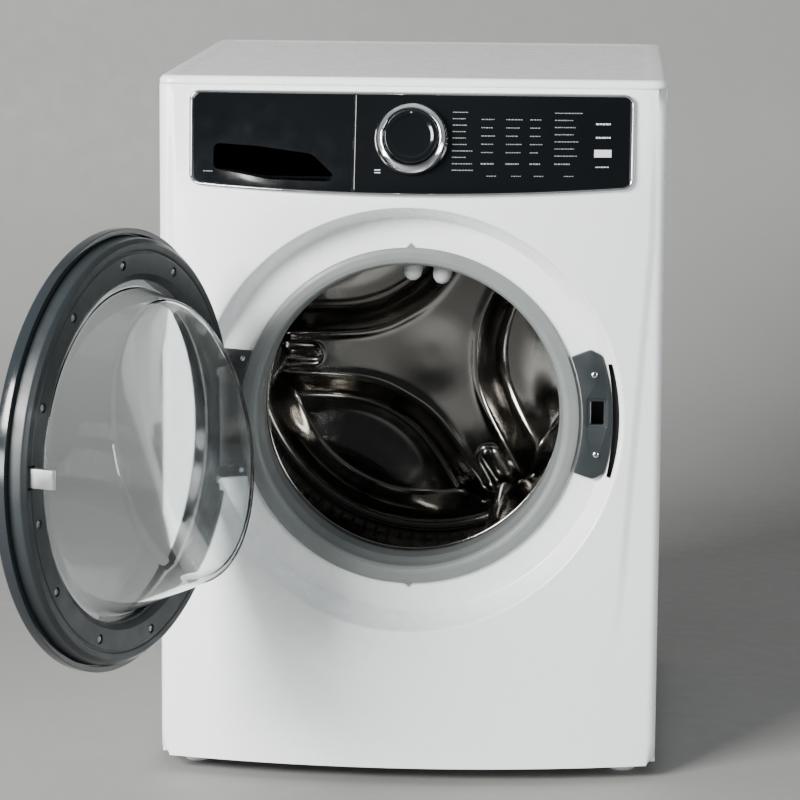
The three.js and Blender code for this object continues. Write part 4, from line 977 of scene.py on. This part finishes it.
def make_hinge():
    """The leaf on the door, and the bracket and pin on the cabinet."""
    section = [(HINGE_X, -0.0462), (-0.238, -0.0462), (-0.238, -0.042), (HINGE_X, -0.042)]
    leaf = raw("door_hinge_leaf_pressed", upright(section, AXIS_Z - 0.066, AXIS_Z + 0.066))
    knuckle = circle(HINGE_X, HINGE_Y, 0.007, 48)
    barrel = raw("hinge_barrel", upright(knuckle, AXIS_Z - 0.070, AXIS_Z + 0.070))
    bore = upright(circle(HINGE_X, HINGE_Y, 0.0035, 24), AXIS_Z - 0.1, AXIS_Z + 0.1)
    joined(leaf, barrel)
    carved(leaf, bore)
    eased(leaf, 0.0006)
    dress(leaf, "slate_plastic", "door", ["door_hinge_leaf"], slot="zinc_sheet", door=True)
    plate_end = 22
    outline = arc(0.2336, 180 - plate_end, 180 + plate_end, 24)
    outline += [(-0.263, AXIS_Z - 0.091, 0.004), (-0.263, AXIS_Z + 0.091, 0.004)]
    bracket = raw("hinge_bracket_cast", prism([tuple(point) for point in rounded(outline, steps=4)],
                                              FLOOR_Y - 0.0047, FLOOR_Y - 0.0003))
    arm = [(-0.249, 0.004), (-0.237, 0.004),
           (HINGE_X + 0.006, HINGE_Y - 0.003), (HINGE_X - 0.006, HINGE_Y + 0.003)]
    for side in (-1, 1):
        low, high = sorted((AXIS_Z + side * 0.072, AXIS_Z + side * 0.084))
        joined(bracket, raw("arm", upright(arm, low, high)))
        joined(bracket, raw("eye", upright(knuckle, low, high)))
    carved(bracket, bore)
    eased(bracket, 0.0008)
    dress(bracket, "dark_steel", "cabinet", ["hinge_bracket"], slot="zinc_sheet")
    places = [(-0.2290, FLOOR_Y - 0.0048, AXIS_Z + z) for z in (-0.079, 0.077)]
    piece("hinge_screws", screws(places, -1, 0.9), "bright_trim", "cabinet", slot="steel")
    pin_circle = circle(HINGE_X, HINGE_Y, 0.0031, 32)
    pin = raw("hinge_pin_turned", upright(pin_circle, AXIS_Z - 0.087, AXIS_Z + 0.087))
    eased(pin, 0.0006)
    dress(pin, "steel", "cabinet", ["hinge_pin"])


def joined(obj, other):
    """Adds another solid to a piece."""
    add = obj.modifiers.new("join", "BOOLEAN")
    add.operation = "UNION"
    add.solver = "EXACT"
    add.object = other
    baked(obj)
    bpy.data.objects.remove(other)


def make_hook():
    x, pivot = LATCH_X, -0.024
    blade = [(x - 0.003, pivot - 0.007), (x + 0.003, pivot - 0.007), (x + 0.003, 0.020), (x, 0.024),
             (x - 0.007, 0.016), (x - 0.003, 0.014)]
    hook = raw("door_hook_pressed", upright(blade, LATCH_Z - 0.012, LATCH_Z + 0.012))
    joined(hook, raw("boss", upright(circle(x, pivot, 0.005, 32), LATCH_Z - 0.013, LATCH_Z + 0.013)))
    eased(hook, 0.0006)
    dress(hook, "zinc_sheet", "door_hook", ["door_hook"], door=True)


def make_strike_plate():
    """The dark plate beside the opening, with a recessed slot for the hook and two screws."""
    low, high = -18, 21.5
    corners = [(*ring_place(r, turn), radius) for r, turn, radius in
               ((0.236, high, 0.004), (0.264, high, 0.010), (0.2757, high - 2.6, 0.006))]
    lower = [(*ring_place(r, turn), radius) for r, turn, radius in
             ((0.2757, low + 2.6, 0.006), (0.264, low, 0.010), (0.236, low, 0.004))]
    outline = lower + arc(0.236, low + 1, high - 1, 40) + corners + arc(0.2757, high - 4, low + 4, 40)
    obj = raw("strike_plate_moulded", prism([tuple(point) for point in rounded(outline, steps=6)],
                                            FLOOR_Y - 0.009, FLOOR_Y - 0.0003))
    pocket_box = (LATCH_X - 0.015, LATCH_X + 0.0115, LATCH_Z - 0.020, LATCH_Z + 0.020, 0.003)
    slot_box = (LATCH_X - 0.011, LATCH_X + 0.0075, LATCH_Z - 0.016, LATCH_Z + 0.016, 0.002)
    pocket = prism(round_box(*pocket_box), -0.02, FLOOR_Y - 0.0072)
    slot = prism(round_box(*slot_box), -0.02, 0.03)
    carved(obj, pocket, slot)
    eased(obj, 0.0016, 3)
    dress(obj, "slate_plastic", "cabinet", ["latch_strike_plate"])
    places = [ring_place(0.259, turn) for turn in (-10.5, 14)]
    heads = screws([(x, FLOOR_Y - 0.0098, z) for x, z in places], -1)
    piece("strike_plate_screws", heads, "bright_trim", "cabinet", slot="steel")


# ---- gasket, nozzles and tub mouth ----

def make_gasket():
    """The rubber bellows with its lips and folds, and a small pointer at its top and bottom."""
    part = ring([
        (0.232, FLOOR_Y - 0.0003), (0.2325, 0.004, 0.001), (0.231, 0.001, 0.002), (0.226, -0.0004, 0.003),
        (0.218, -0.0012, 0.004), (0.2125, -0.0002, 0.003), (0.209, 0.004, 0.003), (0.2078, 0.012, 0.004),
        (0.2092, 0.020, 0.004), (0.2080, 0.028, 0.005), (0.204, 0.043, 0.006), (0.2044, 0.062, 0.006),
        (0.2040, 0.084, 0.004), (0.214, 0.089, 0.004), (0.226, 0.093, 0.003), (0.226, 0.0997),
        (0.243, 0.0997), (0.243, 0.088), (0.212, 0.076, 0.004), (0.212, 0.048, 0.006),
        (0.217, 0.016, 0.002), (0.230, 0.0103), (0.2236, 0.0103), (0.2236, FLOOR_Y - 0.0003),
    ], 192)
    pointers = []
    for side in (-1, 1):
        base, top = AXIS_Z + side * 0.2312, AXIS_Z + side * 0.2385
        tip = [(-0.0065, base), (0.0065, base), (0.0, top)]
        pointers.append(prism(tip, FLOOR_Y - 0.003, FLOOR_Y - 0.0003))
    piece("door_gasket_moulded", merged(part, *pointers), "grey_rubber", "cabinet",
          ["door_gasket"], angle=60)


def make_nozzles():
    outline = [(0, 0.1806), (0.005, 0.1812, 0.002), (0.0105, 0.1858, 0.004), (0.0128, 0.1926, 0.004),
               (0.0130, 0.2026), (0, 0.2026)]
    for name, degrees in (("spray_nozzle_middle", 0), ("spray_nozzle_right", 12)):
        about = at((0, 0, AXIS_Z)) @ Matrix.Rotation(math.radians(degrees), 4, "Y")
        part = turned(outline, 40, about @ at((0, 0.060, 0)) @ UPRIGHT)
        piece(name + "_moulded", part, "pale_plastic", "cabinet", [name])


# ---- drum ----

def back_level(x, z):
    """How far back the drum's back stands at a point, measured from the axis."""
    r = math.hypot(x, z)
    blend, gaps = 0.029, []
    for degrees in ARM_ANGLES:
        turn = math.radians(degrees)
        along = x * math.cos(turn) + z * math.sin(turn)
        across = abs(z * math.cos(turn) - x * math.sin(turn))
        gaps.append(across if along > 0 else r)
    off = -blend * math.log(sum(math.exp(-gap / blend) for gap in gaps))
    into = smooth_min((off - 0.033) / 0.041, (0.243 - r) / 0.026, 0.25)
    down = min(1.0, max(0.0, into))
    raised = ARM_LEVEL + 0.030 * ramp(r, 0.215, 0.272)
    raised += 0.0025 * (1 - ramp(r, 0.010, 0.075)) - 0.0014 * math.exp(-((off - 0.029) / 0.006) ** 2)
    raised += tongue(x, z)
    floor = POCKET_LEVEL - 0.010 * ramp(off, 0.085, 0.150)
    return raised + (floor - raised) * (1 - (1 - down) ** 1.8)


def tongue(x, z):
    """A long low boss near the outer end of each arm."""
    rise = 0.0
    for degrees in ARM_ANGLES:
        turn = math.radians(degrees)
        along = x * math.cos(turn) + z * math.sin(turn)
        across = z * math.cos(turn) - x * math.sin(turn)
        near = math.hypot(max(0.178 - along, 0, along - 0.235), across)
        rise -= 0.0042 * (1 - ramp(near, 0.006, 0.019))
    return rise


def make_drum_back():
    radii = [0.0015 * k for k in range(1, 183)] + [0.2744]
    steps = 288
    rows = []
    for r in radii:
        row = []
        for k in range(steps):
            turn = 2 * math.pi * k / steps
            x, z = r * math.cos(turn), r * math.sin(turn)
            row.append((x, back_level(x, z), AXIS_Z + z))
        rows.append(row)
    front = lattice(rows, close_columns=True)
    front[1].append(tuple(range(steps))[::-1])
    sheet = [(x, y + 0.0012, z) for x, y, z in front[0]], [face[::-1] for face in front[1]]
    edge = lattice([rows[-1], [(x, y + 0.0012, z) for x, y, z in rows[-1]]], close_columns=True)
    piece("drum_back_pressed", merged(front, sheet, edge), "drum_steel", "drum",
          ["drum_back"], slot="stainless", angle=60)


def hole_cell(u0, u1, v0, v1, radius, to_point):
    """One cell of perforated sheet: a flat with a round hole and the wall of the hole."""
    middle_u, middle_v = (u0 + u1) / 2, (v0 + v1) / 2
    corners = [(u1, v1), (u0, v1), (u0, v0), (u1, v0)]
    sides = 12
    points, faces = [], []
    for k in range(sides):
        turn = math.pi / 4 + 2 * math.pi * k / sides
        points.append(to_point(middle_u + radius * math.cos(turn), middle_v + radius * math.sin(turn), 0))
        points.append(to_point(middle_u + radius * math.cos(turn), middle_v + radius * math.sin(turn), 1))
    for corner in corners:
        points.append(to_point(*corner, 0))
    first = 2 * sides
    per = sides // 4
    for q in range(4):
        for k in range(per):
            a = q * per + k
            b = (a + 1) % sides
            corner = first + (q if k < (per + 1) // 2 else (q + 1) % 4)
            faces.append((2 * a, 2 * b, corner))
        turn_at = 2 * ((q * per + (per + 1) // 2) % sides)
        faces.append((turn_at, first + (q + 1) % 4, first + q))
    for k in range(sides):
        b = (k + 1) % sides
        faces.append((2 * k, 2 * k + 1, 2 * b + 1, 2 * b))
    return points, faces


def make_drum_shell():
    """The perforated tube with its rolled front rim."""
    columns, rows = 96, 24
    low, high = 0.150, 0.588
    arc_step = 2 * math.pi / columns
    pitch = (high - low) / rows
    parts = []

    def to_point(u, v, depth):
        r = DRUM_R + 0.0001 + 0.0010 * depth
        turn = u / DRUM_R
        return (r * math.cos(turn), v, AXIS_Z + r * math.sin(turn))

    width = DRUM_R * arc_step
    for i in range(rows):
        v0, v1 = low + i * pitch, low + (i + 1) * pitch
        for j in range(columns):
            parts.append(hole_cell(j * width, (j + 1) * width, v0, v1, 0.0021, to_point))
    holes = merged(*parts)
    front = ring([
        (0.203, DRUM_FRONT + 0.006, 0.002), (0.205, DRUM_FRONT, 0.0025), (0.212, DRUM_FRONT + 0.005, 0.004),
        (0.222, 0.1125, 0.003), (0.226, 0.1150, 0.002), (0.264, 0.118, 0.006),
        (0.2762, 0.130, 0.008), (0.2762, 0.150), (0.275, 0.150), (0.275, 0.131, 0.008),
        (0.263, 0.1195, 0.006), (0.209, DRUM_FRONT + 0.008),
    ], 192)
    rear = ring([(0.2751, 0.588), (0.2751, 0.596, 0.001), (0.2742, 0.598, 0.001), (0.2742, 0.606, 0.001),
                 (0.2751, 0.608, 0.001), (0.2751, DRUM_BACK), (0.2762, DRUM_BACK), (0.2762, 0.588)], 192)
    piece("drum_shell_perforated", merged(front, holes, rear), "drum_steel", "drum",
          ["drum_shell"], slot="stainless", angle=50)


def make_lifters():
    """Three long rounded fins of sheet inside the drum."""
    start, end, height = DRUM_FRONT + 0.040, 0.536, 0.058
    base = DRUM_R - 0.0045
    stations, around = 48, 28
    for number, degrees in enumerate(ARM_ANGLES, 1):
        about = at((0, 0, AXIS_Z)) @ Matrix.Rotation(math.radians(90 - degrees), 4, "Y")
        rows = []
        for i in range(stations + 1):
            t = i / stations
            y = start + (end - start) * t
            grow = math.sqrt(max(0.0, 1 - (1 - min(1.0, (y - start) / 0.075)) ** 2))
            fall = math.sqrt(max(0.0, 1 - (1 - min(1.0, (end - y) / 0.055)) ** 2))
            tall = 0.002 + (height - 0.002) * grow * fall
            half = 0.010 + 0.034 * min(grow, fall) ** 0.8
            row = []
            for k in range(around + 1):
                u = 2 * k / around - 1
                h = tall * (1 - abs(u) ** 1.7) ** 0.9
                row.append((half * u, y, base - h + 0.003 * (abs(u) > 0.98)))
            rows.append(row)
        part = moved(lattice(rows), about)
        rib = moved(lifter_ribs(start, end, base, height), about)
        piece(f"drum_lifter_{number}_pressed", merged(part, rib), "drum_steel", "drum",
              [f"drum_lifter_{number}"], slot="stainless", angle=50)


def lifter_ribs(start, end, base, height):
    """Small domed buttons along the crest of a lifter."""
    button = [(0, 0.0014), (0.0035, 0.0010, 0.001), (0.0045, -0.0006), (0, -0.0006)]
    parts = []
    for k in range(6):
        y = start + 0.085 + (end - start - 0.16) * k / 5
        down = at((0, y, base - height + 0.0004)) @ Matrix.Rotation(-math.pi / 2, 4, "X")
        parts.append(turned(button, 16, down))
    return merged(*parts)


# ---- carried-over solids ----

def dress_frame_nodes():
    """Gives every solid of the frame that is still shown the look of its own slot."""
    slots = {part["node"]: part["material_slot"] for part in frame["record"]["subparts"]}
    for name, obj in frame["nodes"].items():
        obj.data.materials.clear()
        obj.data.materials.append(LOOKS[slots[name]])


# ---- room, light and camera ----

def make_room():
    """A pale floor that curves up into a wall, which is clear when it is seen from behind. In front of the machine
    the floor is painted near-black, as painted shade for the dim room that the console and drum reflect.
    """
    radius, back, far = 0.8, 2.6, 9.0
    profile = [(-9.0, 0.0), (back - radius, 0.0)]
    profile += [(back - radius + radius * math.sin(t), radius * (1 - math.cos(t)))
                for t in (math.pi / 2 * k / 24 for k in range(1, 25))]
    profile.append((back, 6.0))
    rows = [[(x, y, z) for y, z in profile] for x in (-far, 0.0, far)]
    obj = raw("room", lattice(rows))
    graph = Graph("room_paint")
    patch = graph.ranged(graph.noise(1.3, 6), 0.3, 0.7, 0, 1)
    pale = graph.mixed(patch, (0.262, 0.262, 0.252), (0.232, 0.232, 0.224))
    depth = graph.add("ShaderNodeSeparateXYZ")
    graph.link(graph.place, depth.inputs["Vector"])
    # Painted shade: the floor turns near-black in front of the machine and stands in for the dim room there, which
    # the drum and console reflect.
    painted_shade_ahead = graph.ranged(depth.outputs["Y"], -1.0, -2.2, 0, 1)
    graph.link(graph.mixed(painted_shade_ahead, pale, (0.035, 0.035, 0.034)), graph.shader.inputs["Base Color"])
    graph.link(graph.ranged(graph.noise(30, 4), 0.3, 0.7, 0.6, 0.75), graph.shader.inputs["Roughness"])
    graph.link(graph.bump(graph.noise(220, 3), 1e-4), graph.shader.inputs["Normal"])
    either = graph.add("ShaderNodeMixShader")
    graph.link(graph.add("ShaderNodeNewGeometry").outputs["Backfacing"], either.inputs["Fac"])
    graph.link(graph.shader.outputs["BSDF"], either.inputs[1])
    graph.link(graph.add("ShaderNodeBsdfTransparent").outputs["BSDF"], either.inputs[2])
    graph.link(either.outputs["Shader"], graph.tree.nodes["Material Output"].inputs["Surface"])
    if obj.data.polygons[0].normal.z < 0:
        obj.data.flip_normals()
    obj.data.materials.append(graph.material)
    obj.data.shade_smooth()


def add_light(name, place, target, size, power, colour=(1, 1, 1)):
    lamp = bpy.data.lights.new(name, "AREA")
    lamp.shape = "RECTANGLE"
    lamp.size, lamp.size_y = size
    lamp.energy = power
    lamp.color = colour
    obj = bpy.data.objects.new(name, lamp)
    bpy.context.scene.collection.objects.link(obj)
    obj.location = place
    obj.rotation_euler = (Vector(target) - Vector(place)).to_track_quat("-Z", "Y").to_euler()


def make_lights():
    world = bpy.data.worlds.new("soft_light")
    world.use_nodes = True
    nodes, links = world.node_tree.nodes, world.node_tree.links
    split = nodes.new("ShaderNodeSeparateXYZ")
    links.new(nodes.new("ShaderNodeTexCoord").outputs["Generated"], split.inputs["Vector"])
    level = nodes.new("ShaderNodeMapRange")
    level.inputs["From Min"].default_value = -0.98
    level.inputs["From Max"].default_value = -0.05
    level.inputs["To Min"].default_value = 0.03
    level.inputs["To Max"].default_value = 0.60
    links.new(split.outputs["Y"], level.inputs["Value"])
    background = nodes["Background"]
    background.inputs["Color"].default_value = (0.86, 0.90, 0.93, 1)
    links.new(level.outputs["Result"], background.inputs["Strength"])
    bpy.context.scene.world = world
    middle = (0.05, 0, 0.5)
    add_light("key", (-3.0, -3.9, 2.7), middle, (2.6, 1.8), 800, (1.0, 0.99, 0.97))
    add_light("fill", (3.4, -3.4, 1.2), middle, (1.6, 1.2), 80, (0.95, 0.98, 1.0))
    add_light("low", (-3.4, -3.6, 0.5), (0.0, 0, 0.1), (1.6, 0.8), 90, (0.97, 0.985, 1.0))
    add_light("above", (0.0, -0.2, 4.2), (0.05, 0.2, 0.9), (3.2, 2.6), 6, (0.97, 0.985, 1.0))


def make_camera():
    """The photograph's viewpoint: a long lens, a little above and to the right of the machine."""
    place = ORIGIN + Vector((0.2746, -4.7071, 1.3263))
    yaw, pitch, roll = -0.061, 0.168, 0.007
    forward = Vector((math.sin(yaw) * math.cos(pitch), math.cos(yaw) * math.cos(pitch), -math.sin(pitch)))
    level = Vector((math.cos(yaw), -math.sin(yaw), 0))
    upward = level.cross(forward)
    right = level * math.cos(roll) + upward * math.sin(roll)
    up = upward * math.cos(roll) - level * math.sin(roll)
    data = bpy.data.cameras.new("camera")
    data.sensor_width = 36
    data.lens = 157.97
    camera = bpy.data.objects.new("camera", data)
    bpy.context.scene.collection.objects.link(camera)
    turn = Matrix((right, up, -forward)).transposed().to_4x4()
    camera.matrix_world = Matrix.Translation(place) @ turn
    bpy.context.scene.camera = camera


dress_frame_nodes()
make_front_panel()
make_top_panel()
make_side_panel(-1, "left_side_panel")
make_side_panel(1, "right_side_panel")
make_rear_panel()
make_access_cover()
make_feet()
make_console()
make_trim()
make_marks()
make_drawer()
make_selector()
make_door_frames()
make_bowl()
make_window()
make_hinge()
make_hook()
make_strike_plate()
make_gasket()
make_nozzles()
make_drum_back()
make_drum_shell()
make_lifters()
make_room()
make_lights()
make_camera()
